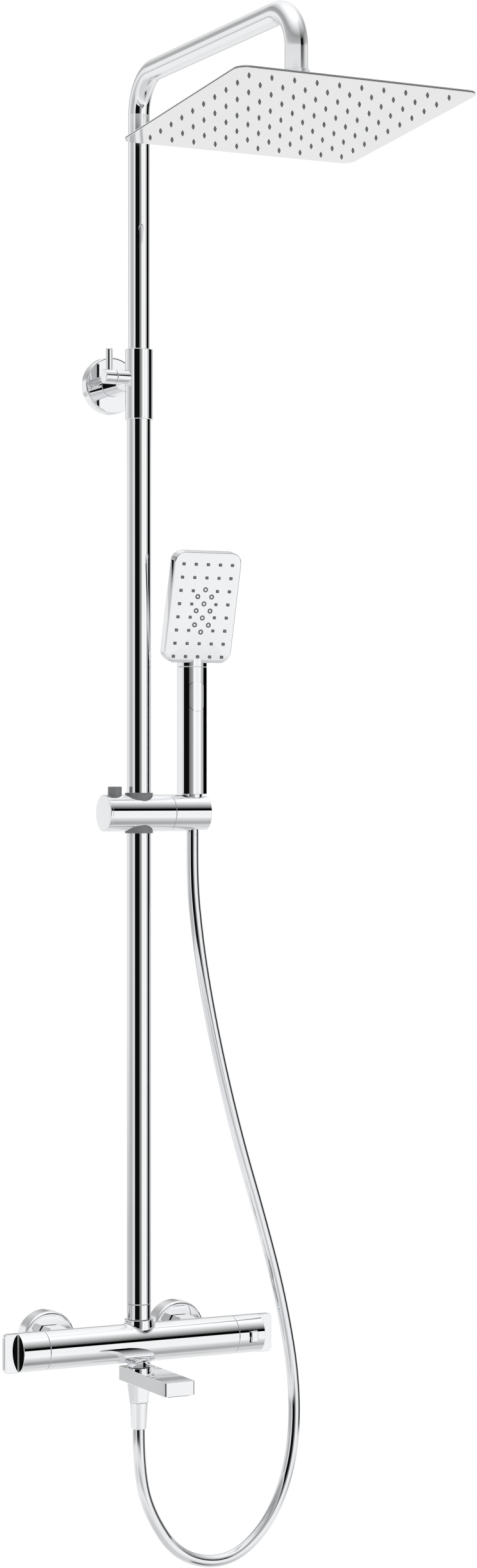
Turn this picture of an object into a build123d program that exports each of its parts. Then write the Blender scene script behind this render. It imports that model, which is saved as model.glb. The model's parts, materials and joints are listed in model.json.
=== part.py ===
"""Rainfall shower column: bar mixer, telescopic riser, square rain head, slider and hand shower.

Millimetres, +Z up, +X right, +Y into the wall. The origin lies on the wall surface, midway
between the two water inlets. Every sub-part is a separate solid, written to its own STEP.
"""

import os
from math import cos, pi, radians, sin, tan

from build123d import *

os.makedirs("parts", exist_ok=True)

# --- Fits -------------------------------------------------------------------------------------
RUNNING = 0.06  # radial clearance of a shaft, slide or swivel
SEATED = 0.05  # radial clearance of pieces that are screwed or glued together
BODY_GAP = 0.3  # between pieces that move past each other

# --- Wall connections and mixer ---------------------------------------------------------------
INLET_SPACING = 150.0
INLET_THREAD_RADIUS = 10.48  # G1/2 male thread
INLET_THREAD_LENGTH = 15.0
WATERWAY_RADIUS = 7.0
MIXER_DEPTH = 78.0  # wall to the mixer's axis
BODY_RADIUS = 20.0
BODY_LENGTH = 215.0
HANDLE_LENGTH = 29.7
HANDLE_WALL = 3.0
SPINDLE_RADIUS = 4.0
SPINDLE_LENGTH = 32.0
CARTRIDGE_RADIUS = 14.5
CARTRIDGE_LENGTH = 46.0
LEVER_REACH = 15.0
LEVER_THICKNESS = 6.0
LEVER_CORNER = 4.0
ESCUTCHEON_RADIUS = 29.0
ESCUTCHEON_DEPTH = 20.0
ESCUTCHEON_WALL = 1.5
UNION_RADIUS = 13.0
UNION_FACE = 34.0  # distance of the union's sealing face from the wall
WASHER_THICKNESS = 2.0
UNION_NUT_FLATS = 30.0

# --- Spout and hose outlet --------------------------------------------------------------------
NECK_RADIUS = 12.25
SPOUT_DROP = 5.0  # gap between the mixer body and the spout
SPOUT_HEIGHT = 14.5
SPOUT_WIDTH = 34.0
SPOUT_BACK = 14.0  # behind the mixer's axis
SPOUT_REACH = 98.0  # in front of the mixer's axis
NIPPLE_RADIUS = 9.0
NIPPLE_BORE = 6.0
NUT_TOP_RADIUS = 13.5
NUT_FOOT_RADIUS = 10.5
NUT_LENGTH = 22.1
FERRULE_TOP_RADIUS = 9.15
FERRULE_FOOT_RADIUS = 7.65
FERRULE_LENGTH = 27.8
HOSE_RADIUS = 6.25

# --- Riser and wall bracket -------------------------------------------------------------------
COLLAR_HEIGHT = 15.7
LOWER_PIPE_RADIUS = 12.5
BOSS_STEP = 2.5  # the boss under the riser is this much wider than the pipe
BOSS_RISE = 4.5  # and stands this far above the mixer body
LOWER_PIPE_TOP = 1003.0
UPPER_PIPE_RADIUS = 11.0
UPPER_PIPE_FOOT = 730.0
PIPE_WALL = 1.0
SLEEVE_WALL = 1.75
SLEEVE_FOOT = 958.4
SLEEVE_TOP = 1031.3
BRACKET_HEIGHT = 1001.5
FLANGE_RADIUS = 30.0
FLANGE_DEPTH = 12.0
FLANGE_WALL = 1.5
STEM_RADIUS = 12.0
WALL_PLATE_RADIUS = 25.0
WALL_PLATE_THICKNESS = 4.0
PLATE_BOSS_RADIUS = 8.0
PLATE_BOSS_LENGTH = 14.0
SCREW_SPACING = 34.0
SCREW_HOLE_RADIUS = 2.6
GRUB_RADIUS = 2.0
GRUB_INSET = 0.5
LOCK_RADIUS = 7.5
LOCK_SEAM = 26.9  # distance of the knob's seam from the riser's axis
LOCK_LENGTH = 13.4
LOCK_PIN_RADIUS = 3.5
LOCK_PIN_RISE = 29.1
LOCK_SPINDLE_RADIUS = 3.0

# --- Shower arm and rain head -----------------------------------------------------------------
ARM_HEIGHT = 1314.8
ARM_REACH = 349.0
ARM_BEND = 40.0
DROP_END = 1253.0
BALL_HEIGHT = 1232.0
BALL_RADIUS = 8.0
BALL_NECK_RADIUS = 3.5
COLLAR_RADIUS = 12.5
ARM_NIPPLE_FLANGE = 11.0
HEAD_SIZE = 250.0
HEAD_CORNER = 11.0
HEAD_TILT = 5.2  # degrees, front edge up
HEAD_DROP = 24.7  # ball centre to the spray face
SHEET = 0.8
HUB_RADIUS = 16.0
HUB_HEIGHT = 6.0
JET_PITCH = 23.15
JET_COUNT = 10
JET_LENGTH = 2.6
JET_ROOT_RADIUS = 1.65
JET_TIP_RADIUS = 0.6
JET_HOLE_RADIUS = 1.2

# --- Slider and holder ------------------------------------------------------------------------
SLIDER_HEIGHT = 550.0
SLIDER_RADIUS = 19.0
SLIDER_LEFT = -40.4
SLIDER_SEAM = 34.6
SLIDER_RIGHT = 75.5
END_CAP_THICKNESS = 3.0
BUSH_WALL = 1.94
BUSH_HEIGHT = 42.0
BUTTON_X = -27.5
BUTTON_RADIUS = 7.2
BUTTON_RISE = 8.4
BUTTON_POCKET = 16.0
AXLE_RADIUS = 5.0
AXLE_CLEARANCE = 2.5  # between the bush and the axle's end
AXLE_RIGHT = 49.0
SEAT_X = 62.0
SEAT_TOP_RADIUS = 11.2
SEAT_FOOT_RADIUS = 8.3
SEAT_LENGTH = 26.0
SLOT_WIDTH = 13.2

# --- Hand shower ------------------------------------------------------------------------------
GRIP_WIDTH = 28.0
GRIP_DEPTH = 22.0
GRIP_CORNER = 3.0
GRIP_CROWN = 21.8  # radius of the grip's rounded front
GRIP_TOP = 702.5
GRIP_WALL = 2.0
SEAM = 0.3
GRIP_PLUG = 10.0
CONE_TOP_RADIUS = 10.7
CONE_FOOT_RADIUS = 7.8
CONE_LENGTH = 25.8
STUB_RADIUS = 8.0
WATER_TUBE_RADIUS = 5.0
WATER_TUBE_BORE = 3.8
KEY_WIDTH = 20.0
KEY_LENGTH = 32.0
KEY_HEIGHT = 672.0
KEY_PROUD = 0.4
PLATE_WIDTH = 77.0
PLATE_LENGTH = 117.5
PLATE_CORNER = 12.0
PLATE_LEAN = 15.0  # degrees, top edge forward
PLATE_CENTRE = (SEAT_X, -103.4, 763.3)
HEAD_DEPTH = 14.0
FACE_THICKNESS = 2.5
FIELD_DROP = 3.1  # the nozzle field sits this far below the plate's centre
NOZZLE_PITCH = 14.0
NOZZLE_SIZE = 3.3
NOZZLE_PROUD = 1.0
NOZZLE_GAP = 0.1
CORE_NOZZLE_RADIUS = 2.75

# --- Derived places ---------------------------------------------------------------------------
AXIS_Y = -MIXER_DEPTH
DROP_Y = AXIS_Y - ARM_REACH
BOSS_RADIUS = LOWER_PIPE_RADIUS + BOSS_STEP
BOSS_TOP = BODY_RADIUS + BOSS_RISE
SPOUT_TOP = -BODY_RADIUS - SPOUT_DROP
SLEEVE_RADIUS = LOWER_PIPE_RADIUS + SEATED + SLEEVE_WALL
BUSH_RADIUS = LOWER_PIPE_RADIUS + RUNNING + BUSH_WALL
AXLE_LEFT = BUSH_RADIUS + AXLE_CLEARANCE
PIPE_INNER = LOWER_PIPE_RADIUS - PIPE_WALL
SPOUT_FOOT = SPOUT_TOP - SPOUT_HEIGHT
NUT_TOP = SPOUT_FOOT - BODY_GAP
NUT_FOOT = NUT_TOP - NUT_LENGTH
FERRULE_FOOT = NUT_FOOT - FERRULE_LENGTH
SLIDER_TOP = SLIDER_HEIGHT + SLIDER_RADIUS
SLIDER_FOOT = SLIDER_HEIGHT - SLIDER_RADIUS
GRIP_FOOT = SLIDER_TOP + 2 * BODY_GAP
CONE_FOOT = GRIP_FOOT - CONE_LENGTH

# The hose lies in the plane y = AXIS_Y. Points run from the lower ferrule round to the holder.
HOSE_ROUTE = [
    (0, FERRULE_FOOT),
    (0, -131),
    (11, -178),
    (46, -229),
    (104, -241),
    (152, -205),
    (180, -141),
    (184, -60),
    (167, 33),
    (143, 118),
    (115, 206),
    (91, 298),
    (73, 385),
    (64, 452),
    (SEAT_X, 488),
    (SEAT_X, 510),
]


def save(piece, label):
    """Labels a finished piece and writes its STEP file."""
    piece.part.label = label
    export_step(piece.part, f"parts/{label}.step")


def upright(x, y, z=0.0):
    """A plane whose normal points up."""
    return Plane(origin=(x, y, z), x_dir=(1, 0, 0), z_dir=(0, 0, 1))


def sideways(x, z, side=1):
    """A plane on the mixer's and slider's line whose normal points to +X, or to -X for side -1."""
    return Plane(origin=(x, AXIS_Y, z), x_dir=(0, 1, 0), z_dir=(side, 0, 0))


def outwards(x, y, z):
    """A plane whose normal points out of the wall, to -Y."""
    return Plane(origin=(x, y, z), x_dir=(1, 0, 0), z_dir=(0, -1, 0))


def rod(plane, radius, length, bore=0.0, mode=Mode.ADD):
    """Adds or cuts a round bar or tube that starts on the plane and follows its normal."""
    with BuildSketch(plane) as section:
        Circle(radius)
        if bore:
            Circle(bore, mode=Mode.SUBTRACT)
    extrude(section.sketch, amount=length, mode=mode)


def taper(plane, start_radius, end_radius, length, mode=Mode.ADD):
    """Adds or cuts a cone that starts on the plane and follows its normal."""
    with Locations(plane):
        Cone(start_radius, end_radius, length, align=(Align.CENTER, Align.CENTER, Align.MIN), mode=mode)


def ring(label, plane, radius, bore, length):
    """Makes and writes a plain ring or tube."""
    with BuildPart() as piece:
        rod(plane, radius, length, bore)
    save(piece, label)


def grip_solid(height, length, grow=0.0, mode=Mode.ADD):
    """Adds, cuts or keeps a length of the grip: a rounded rectangle with a crowned front, grown all round."""
    with BuildSketch(upright(SEAT_X, AXIS_Y, height)) as section:
        RectangleRounded(GRIP_WIDTH + 2 * grow, GRIP_DEPTH + 2 * grow, GRIP_CORNER + grow)
        with Locations((0, GRIP_CROWN - GRIP_DEPTH / 2)):
            Circle(GRIP_CROWN + grow, mode=Mode.INTERSECT)
    extrude(section.sketch, amount=length, mode=mode)


def spring(label, plane, radius, wire, length, turns):
    """Makes and writes a coil spring that stands on the plane."""
    pitch = (length - wire) / turns
    with BuildPart() as piece:
        with BuildLine() as coil:
            Helix(pitch, pitch * turns, radius, plane.offset(wire / 2).origin, plane.z_dir)
        with BuildSketch(Plane(origin=coil.line @ 0, z_dir=coil.line % 0)):
            Circle(wire / 2)
        sweep(path=coil.line, is_frenet=True)
    save(piece, label)


# --- Wall connections -------------------------------------------------------------------------
INLETS = (-INLET_SPACING / 2, INLET_SPACING / 2)
UNION_COLLAR = 10.0
UNION_SHOULDER = 2.0
with BuildPart() as wall_unions:
    for x in INLETS:
        rod(outwards(x, INLET_THREAD_LENGTH, 0), INLET_THREAD_RADIUS, INLET_THREAD_LENGTH)
        rod(outwards(x, 0, 0), UNION_RADIUS + UNION_SHOULDER, UNION_COLLAR)
        rod(outwards(x, -UNION_COLLAR, 0), UNION_RADIUS, UNION_FACE - UNION_COLLAR)
        rod(outwards(x, INLET_THREAD_LENGTH, 0), WATERWAY_RADIUS, UNION_FACE + INLET_THREAD_LENGTH,
            mode=Mode.SUBTRACT)
save(wall_unions, "wall_unions")
with BuildPart() as escutcheons:
    for x in INLETS:
        rod(outwards(x, 0, 0), ESCUTCHEON_RADIUS, ESCUTCHEON_DEPTH)
    fillet(escutcheons.faces().group_by(Axis.Y)[0].edges(), ESCUTCHEON_WALL)
    for x in INLETS:
        rod(outwards(x, 0, 0), ESCUTCHEON_RADIUS - ESCUTCHEON_WALL, ESCUTCHEON_DEPTH - ESCUTCHEON_WALL,
            mode=Mode.SUBTRACT)
        rod(outwards(x, 0, 0), UNION_RADIUS + SEATED, ESCUTCHEON_DEPTH, mode=Mode.SUBTRACT)
save(escutcheons, "escutcheons")

TAIL_RADIUS = 10.5
UNION_NUT_LAP = 12.0
UNION_NUT_WALL = 3.0
WASHER_INSET = 1.0
nut_back = UNION_FACE - UNION_NUT_LAP
nut_shoulder = UNION_FACE + 2 * WASHER_THICKNESS + SEATED
with BuildPart() as union_nuts:
    for x in INLETS:
        with BuildSketch(outwards(x, -nut_back, 0)):
            RegularPolygon(UNION_NUT_FLATS / 2, 6, major_radius=False)
        extrude(amount=nut_shoulder - nut_back + UNION_NUT_WALL)
        rod(outwards(x, -nut_back, 0), UNION_RADIUS + SEATED, nut_shoulder - nut_back, mode=Mode.SUBTRACT)
        rod(outwards(x, -nut_back, 0), TAIL_RADIUS + SEATED, nut_shoulder, mode=Mode.SUBTRACT)
save(union_nuts, "union_nuts")

# --- Mixer body -------------------------------------------------------------------------------
BOSS_FILLET = 4.0
NIPPLE_DEPTH = 10.0  # how far above and below the axis the nipples start
with BuildPart() as mixer_body:
    rod(sideways(-BODY_LENGTH / 2, 0), BODY_RADIUS, BODY_LENGTH)
    rod(upright(0, AXIS_Y), BOSS_RADIUS, BOSS_TOP)
    fillet(mixer_body.edges().filter_by(GeomType.BSPLINE), BOSS_FILLET)
    rod(upright(0, AXIS_Y), NECK_RADIUS, SPOUT_TOP + BODY_GAP)
    fillet(mixer_body.edges().filter_by(GeomType.BSPLINE).group_by(Axis.Z)[0], BOSS_FILLET)
    for x in INLETS:
        tail_end = UNION_FACE + WASHER_THICKNESS
        rod(outwards(x, -tail_end, 0), UNION_RADIUS - SEATED, WASHER_THICKNESS)
        rod(outwards(x, -tail_end, 0), TAIL_RADIUS, MIXER_DEPTH - tail_end)
        rod(outwards(x, -tail_end, 0), WATERWAY_RADIUS, MIXER_DEPTH - tail_end, mode=Mode.SUBTRACT)
    for side in (-1, 1):
        rod(sideways(side * BODY_LENGTH / 2, 0, -side), CARTRIDGE_RADIUS + SEATED, CARTRIDGE_LENGTH,
            mode=Mode.SUBTRACT)
    rod(sideways(-BODY_LENGTH / 2, 0), WATERWAY_RADIUS, BODY_LENGTH, mode=Mode.SUBTRACT)
    rod(upright(0, AXIS_Y, NIPPLE_DEPTH), NIPPLE_RADIUS + SEATED, BOSS_TOP, mode=Mode.SUBTRACT)
    rod(upright(0, AXIS_Y, -NIPPLE_DEPTH), NIPPLE_RADIUS + SEATED, SPOUT_TOP, mode=Mode.SUBTRACT)
    rod(upright(0, AXIS_Y, -NIPPLE_DEPTH), NIPPLE_BORE, 2 * NIPPLE_DEPTH, mode=Mode.SUBTRACT)
save(mixer_body, "mixer_body")


# --- Cartridges, handles and levers -----------------------------------------------------------
SPINDLE_DEPTH = 12.0  # how far the spindle sits in the cartridge
SPINDLE_SOCKET = SPINDLE_DEPTH + 2.0
HANDLE_CAP = 9.0
LEVER_SPIGOT_RADIUS = 5.0
LEVER_SPIGOT_LENGTH = 6.0
LEVER_BACK = 1.6  # the lever's back face behind the axis
HANDLE_START = BODY_LENGTH / 2 + BODY_GAP
HANDLE_END = HANDLE_START + HANDLE_LENGTH
SPINDLE_START = BODY_LENGTH / 2 - SPINDLE_DEPTH


def make_control(side, name, cartridge_name):
    """Makes the cartridge, spindle and lever of one end of the mixer."""
    with BuildPart() as cartridge:
        rod(sideways(side * BODY_LENGTH / 2, 0, -side), CARTRIDGE_RADIUS, CARTRIDGE_LENGTH - SEATED)
        rod(sideways(side * BODY_LENGTH / 2, 0, -side), SPINDLE_RADIUS + RUNNING, SPINDLE_SOCKET,
            mode=Mode.SUBTRACT)
    save(cartridge, cartridge_name)
    with BuildPart() as spindle:
        rod(sideways(side * SPINDLE_START, 0, side), SPINDLE_RADIUS, SPINDLE_LENGTH)
    save(spindle, f"{name}_spindle")
    with BuildPart() as lever:
        with BuildSketch(outwards(side * HANDLE_END, AXIS_Y + LEVER_BACK, 0)):
            Rectangle(2 * LEVER_REACH, 2 * BODY_RADIUS)
        extrude(amount=LEVER_THICKNESS)
        fillet(lever.edges().filter_by(Axis.Y), LEVER_CORNER)
        with Locations((side * (HANDLE_END - LEVER_REACH), AXIS_Y, 0)):
            Box(2 * LEVER_REACH, 4 * LEVER_THICKNESS, 4 * BODY_RADIUS, mode=Mode.SUBTRACT)
        rod(sideways(side * HANDLE_END, 0, -side), LEVER_SPIGOT_RADIUS, LEVER_SPIGOT_LENGTH)
    save(lever, f"{name}_lever")


def handle_solid(side):
    """Adds one turned handle, hollow round its hub, to the part in hand."""
    start = sideways(side * HANDLE_START, 0, side)
    rod(start, BODY_RADIUS, HANDLE_LENGTH)
    rod(start, BODY_RADIUS - HANDLE_WALL, HANDLE_LENGTH - HANDLE_CAP, SPINDLE_RADIUS + HANDLE_WALL,
        mode=Mode.SUBTRACT)
    rod(start, SPINDLE_RADIUS + SEATED, SPINDLE_START + SPINDLE_LENGTH - HANDLE_START + SEATED,
        mode=Mode.SUBTRACT)
    rod(sideways(side * HANDLE_END, 0, -side), LEVER_SPIGOT_RADIUS + SEATED, LEVER_SPIGOT_LENGTH + SEATED,
        mode=Mode.SUBTRACT)


make_control(-1, "diverter", "diverter_cartridge")
make_control(1, "temperature", "thermostat_cartridge")
with BuildPart() as diverter_handle:
    handle_solid(-1)
save(diverter_handle, "diverter_handle")

STOP_INSET = 16.0
STOP_X = HANDLE_START + STOP_INSET
STOP_WIDTH = 7.6
STOP_HEIGHT = 11.6
STOP_PROUD = 3.0
STOP_DEPTH = 7.0
STOP_CORNER = 1.0
STOP_SPRING_RADIUS = 2.2
STOP_SPRING_TURNS = 4
SPRING_WIRE = 0.7
with BuildPart() as temperature_handle:
    handle_solid(1)
    with BuildSketch(outwards(STOP_X, AXIS_Y - SPINDLE_RADIUS - HANDLE_WALL, 0)):
        Rectangle(STOP_WIDTH + 2 * BODY_GAP, STOP_HEIGHT + 2 * BODY_GAP)
    extrude(amount=BODY_RADIUS, mode=Mode.SUBTRACT)
save(temperature_handle, "temperature_handle")

stop_front = AXIS_Y - BODY_RADIUS - STOP_PROUD
with BuildPart() as safety_button:
    with BuildSketch(outwards(STOP_X, stop_front + STOP_DEPTH, 0)):
        Rectangle(STOP_WIDTH, STOP_HEIGHT)
    extrude(amount=STOP_DEPTH)
    fillet(safety_button.faces().sort_by(Axis.Y)[0].edges(), STOP_CORNER)
save(safety_button, "safety_button")
stop_spring_seat = AXIS_Y - SPINDLE_RADIUS - HANDLE_WALL - SEATED
spring("safety_button_spring", outwards(STOP_X, stop_spring_seat, 0), STOP_SPRING_RADIUS, SPRING_WIRE,
       stop_spring_seat - stop_front - STOP_DEPTH - SEATED, STOP_SPRING_TURNS)

# --- Spout and hose outlet --------------------------------------------------------------------
RING_HEIGHT = 2.0
RING_DEPTH = 1.2
RING_INSET = 3.5
RING_LEVELS = (SPOUT_TOP - RING_INSET, SPOUT_FOOT + RING_INSET)
NUT_THREAD = 12.0
NIPPLE_SHOULDER = 1.0
NIPPLE_FOOT = NUT_TOP - NUT_THREAD
with BuildPart() as outlet_nipple:
    rod(upright(0, AXIS_Y, NIPPLE_FOOT), NIPPLE_RADIUS, -NIPPLE_DEPTH - NIPPLE_FOOT, NIPPLE_BORE)
    for level in RING_LEVELS:
        rod(upright(0, AXIS_Y, level - RING_HEIGHT / 2), NIPPLE_RADIUS + NIPPLE_SHOULDER, RING_HEIGHT,
            NIPPLE_RADIUS - RING_DEPTH, mode=Mode.SUBTRACT)
save(outlet_nipple, "outlet_nipple")
with BuildPart() as spout_o_rings:
    for level in RING_LEVELS:
        rod(upright(0, AXIS_Y, level - RING_HEIGHT / 2 + SEATED), NIPPLE_RADIUS,
            RING_HEIGHT - 2 * SEATED, NIPPLE_RADIUS - RING_DEPTH + SEATED)
save(spout_o_rings, "spout_o_rings")

SPOUT_EDGE = 1.5
SPOUT_CORNER = 2.5
SPOUT_SKIN = 3.0
OUTLET_WIDTH = 24.0
OUTLET_DEPTH = 9.0
OUTLET_PROUD = 1.0
spout_front = AXIS_Y - SPOUT_REACH
spout_middle = AXIS_Y + (SPOUT_BACK - SPOUT_REACH) / 2
outlet_y = spout_front + SPOUT_SKIN + OUTLET_DEPTH / 2
channel_end = outlet_y - OUTLET_DEPTH / 2
with BuildPart() as spout:
    with BuildSketch(upright(0, spout_middle, SPOUT_FOOT)):
        RectangleRounded(SPOUT_WIDTH, SPOUT_BACK + SPOUT_REACH, SPOUT_CORNER)
    extrude(amount=SPOUT_HEIGHT)
    with BuildSketch(upright(0, (AXIS_Y + channel_end) / 2, SPOUT_FOOT + SPOUT_SKIN)):
        Rectangle(OUTLET_WIDTH, AXIS_Y - channel_end)
    extrude(amount=SPOUT_HEIGHT - 2 * SPOUT_SKIN, mode=Mode.SUBTRACT)
    with BuildSketch(upright(0, outlet_y, SPOUT_FOOT)):
        RectangleRounded(OUTLET_WIDTH, OUTLET_DEPTH, SPOUT_EDGE)
    extrude(amount=SPOUT_SKIN, mode=Mode.SUBTRACT)
    rod(upright(0, AXIS_Y, SPOUT_FOOT), NIPPLE_RADIUS + RUNNING, SPOUT_HEIGHT, mode=Mode.SUBTRACT)
save(spout, "spout")
with BuildPart() as spout_aerator:
    with BuildSketch(upright(0, outlet_y, SPOUT_FOOT - OUTLET_PROUD)):
        RectangleRounded(OUTLET_WIDTH - 2 * SEATED, OUTLET_DEPTH - 2 * SEATED, SPOUT_EDGE)
    extrude(amount=SPOUT_SKIN + OUTLET_PROUD)
save(spout_aerator, "spout_aerator")

FERRULE_GRIP = 2.0  # the ferrule's bore is this much smaller in radius than the hose
with BuildPart() as hose_nut:
    taper(upright(0, AXIS_Y, NUT_FOOT), NUT_FOOT_RADIUS, NUT_TOP_RADIUS, NUT_LENGTH)
    rod(upright(0, AXIS_Y, NIPPLE_FOOT - WASHER_THICKNESS), NIPPLE_RADIUS + SEATED, NUT_LENGTH,
        mode=Mode.SUBTRACT)
    rod(upright(0, AXIS_Y, NUT_FOOT), NIPPLE_BORE, NUT_LENGTH, mode=Mode.SUBTRACT)
save(hose_nut, "hose_nut")
with BuildPart() as hose_ferrule:
    taper(upright(0, AXIS_Y, FERRULE_FOOT), FERRULE_FOOT_RADIUS, FERRULE_TOP_RADIUS, FERRULE_LENGTH)
    rod(upright(0, AXIS_Y, FERRULE_FOOT), HOSE_RADIUS - FERRULE_GRIP, FERRULE_LENGTH, mode=Mode.SUBTRACT)
save(hose_ferrule, "hose_ferrule")


# --- Hose -------------------------------------------------------------------------------------
def corner_radii(points):
    """The arc radius at each inner point: 0.45 of the shorter run over the tangent of half the turn."""
    radii = []
    for before, here, after in zip(points, points[1:], points[2:]):
        turn = (here - before).get_angle(after - here)
        run = min((here - before).length, (after - here).length)
        radii.append(0.45 * run / tan(radians(turn) / 2))
    return radii


hose_points = [Vector(x, AXIS_Y, z) for x, z in HOSE_ROUTE]
hose_radii = corner_radii(hose_points)
with BuildPart() as shower_hose:
    with BuildLine() as hose_path:
        FilletPolyline(*hose_points, radius=hose_radii)
    with BuildSketch(upright(0, AXIS_Y, FERRULE_FOOT)):
        Circle(HOSE_RADIUS)
    sweep(path=hose_path.line)
save(shower_hose, "shower_hose")
hose_length = hose_path.wire().length
print("hose radii", [round(radius) for radius in hose_radii])
print("hose length", round(hose_length), "volume ratio",
      round(shower_hose.part.volume / (pi * HOSE_RADIUS**2 * hose_length), 4))
hose_top = HOSE_ROUTE[-1][1]
with BuildPart() as hose_upper:
    rod(upright(SEAT_X, AXIS_Y, hose_top), HOSE_RADIUS, CONE_FOOT - hose_top)
save(hose_upper, "hose_upper")

# --- Riser ------------------------------------------------------------------------------------
collar_foot = BOSS_TOP + SEAM
lower_pipe_foot = collar_foot + COLLAR_HEIGHT + SEAM
NIPPLE_RISE = 20.0
SEAL_SHORT = 2.0
ring("riser_nipple", upright(0, AXIS_Y, NIPPLE_DEPTH), NIPPLE_RADIUS, NIPPLE_BORE,
     lower_pipe_foot + NIPPLE_RISE - NIPPLE_DEPTH)
ring("riser_collar", upright(0, AXIS_Y, collar_foot), LOWER_PIPE_RADIUS, NIPPLE_RADIUS + SEATED,
     COLLAR_HEIGHT)
with BuildPart() as seals:
    for x in INLETS:
        rod(outwards(x, -UNION_FACE, 0), UNION_RADIUS - WASHER_INSET, WASHER_THICKNESS, WATERWAY_RADIUS)
    rod(upright(0, AXIS_Y, NIPPLE_FOOT - WASHER_THICKNESS), NIPPLE_RADIUS, WASHER_THICKNESS, NIPPLE_BORE)
    rod(upright(0, AXIS_Y, lower_pipe_foot), PIPE_INNER - SEATED, NIPPLE_RISE - SEAL_SHORT,
        NIPPLE_RADIUS + SEATED)
save(seals, "seals")
ring("lower_pipe", upright(0, AXIS_Y, lower_pipe_foot), LOWER_PIPE_RADIUS, PIPE_INNER,
     LOWER_PIPE_TOP - lower_pipe_foot)

# --- Height lock and wall bracket -------------------------------------------------------------
SLEEVE_LIP = 1.3
SMALL_EDGE = 0.6
lock_axis = BRACKET_HEIGHT
sleeve_bore = LOWER_PIPE_RADIUS + SEATED
with BuildPart() as height_sleeve:
    rod(upright(0, AXIS_Y, SLEEVE_FOOT), SLEEVE_RADIUS, SLEEVE_TOP - SLEEVE_FOOT)
    rod(sideways(0, lock_axis, -1), LOCK_RADIUS, LOCK_SEAM)
    rod(upright(0, AXIS_Y, SLEEVE_FOOT), sleeve_bore, SLEEVE_TOP - SLEEVE_LIP - SLEEVE_FOOT,
        mode=Mode.SUBTRACT)
    rod(upright(0, AXIS_Y, SLEEVE_FOOT), UPPER_PIPE_RADIUS + BODY_GAP, SLEEVE_TOP - SLEEVE_FOOT,
        mode=Mode.SUBTRACT)
    rod(sideways(0, lock_axis, -1), LOCK_SPINDLE_RADIUS + RUNNING, LOCK_SEAM, mode=Mode.SUBTRACT)
save(height_sleeve, "height_sleeve")
bush_foot = LOWER_PIPE_TOP + SEATED
ring("guide_bush", upright(0, AXIS_Y, bush_foot), LOWER_PIPE_RADIUS, UPPER_PIPE_RADIUS + RUNNING,
     SLEEVE_TOP - SLEEVE_LIP - SEATED - bush_foot)

knob_start = LOCK_SEAM + BODY_GAP
lock_pin_x = -knob_start - LOCK_LENGTH / 2
with BuildPart() as lock_knob:
    rod(sideways(-knob_start, lock_axis, -1), LOCK_RADIUS, LOCK_LENGTH - BODY_GAP)
    fillet(lock_knob.faces().sort_by(Axis.X)[0].edges(), SMALL_EDGE)
    spindle_tip = LOWER_PIPE_RADIUS + BODY_GAP
    rod(sideways(-spindle_tip, lock_axis, -1), LOCK_SPINDLE_RADIUS, knob_start - spindle_tip)
    rod(upright(lock_pin_x, AXIS_Y, lock_axis), LOCK_PIN_RADIUS + SEATED, LOCK_RADIUS, mode=Mode.SUBTRACT)
save(lock_knob, "lock_knob")
with BuildPart() as lock_pin:
    rod(upright(lock_pin_x, AXIS_Y, lock_axis + SEATED), LOCK_PIN_RADIUS, LOCK_PIN_RISE - SEATED)
    fillet(lock_pin.faces().sort_by(Axis.Z)[-1].edges(), SMALL_EDGE)
save(lock_pin, "lock_pin")

with BuildPart() as wall_plate:
    rod(outwards(0, 0, BRACKET_HEIGHT), WALL_PLATE_RADIUS, WALL_PLATE_THICKNESS)
    rod(outwards(0, -WALL_PLATE_THICKNESS, BRACKET_HEIGHT), PLATE_BOSS_RADIUS, PLATE_BOSS_LENGTH)
    for x in (-SCREW_SPACING / 2, SCREW_SPACING / 2):
        rod(outwards(x, 0, BRACKET_HEIGHT), SCREW_HOLE_RADIUS, WALL_PLATE_THICKNESS, mode=Mode.SUBTRACT)
save(wall_plate, "wall_plate")
with BuildPart() as bracket_cover:
    rod(outwards(0, 0, BRACKET_HEIGHT), FLANGE_RADIUS, FLANGE_DEPTH)
    fillet(bracket_cover.faces().sort_by(Axis.Y)[0].edges(), FLANGE_WALL)
    rod(outwards(0, 0, BRACKET_HEIGHT), FLANGE_RADIUS - FLANGE_WALL, FLANGE_DEPTH - FLANGE_WALL,
        mode=Mode.SUBTRACT)
    rod(outwards(0, 0, BRACKET_HEIGHT), STEM_RADIUS + SEATED, FLANGE_DEPTH, mode=Mode.SUBTRACT)
save(bracket_cover, "bracket_cover")
stem_back = WALL_PLATE_THICKNESS + SEATED
grub_y = -(WALL_PLATE_THICKNESS + PLATE_BOSS_LENGTH) + GRUB_RADIUS
with BuildPart() as bracket_stem:
    rod(outwards(0, -stem_back, BRACKET_HEIGHT), STEM_RADIUS, MIXER_DEPTH - stem_back)
    rod(outwards(0, -stem_back, BRACKET_HEIGHT), PLATE_BOSS_RADIUS + SEATED, PLATE_BOSS_LENGTH,
        mode=Mode.SUBTRACT)
    rod(upright(0, grub_y, BRACKET_HEIGHT), GRUB_RADIUS + SEATED, -STEM_RADIUS, mode=Mode.SUBTRACT)
    rod(upright(0, AXIS_Y, SLEEVE_FOOT), SLEEVE_RADIUS + SEATED, SLEEVE_TOP - SLEEVE_FOOT,
        mode=Mode.SUBTRACT)
save(bracket_stem, "bracket_stem")
ring("bracket_grub_screw", upright(0, grub_y, BRACKET_HEIGHT - STEM_RADIUS + GRUB_INSET), GRUB_RADIUS,
     0, STEM_RADIUS - PLATE_BOSS_RADIUS - GRUB_INSET - SEATED)

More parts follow.
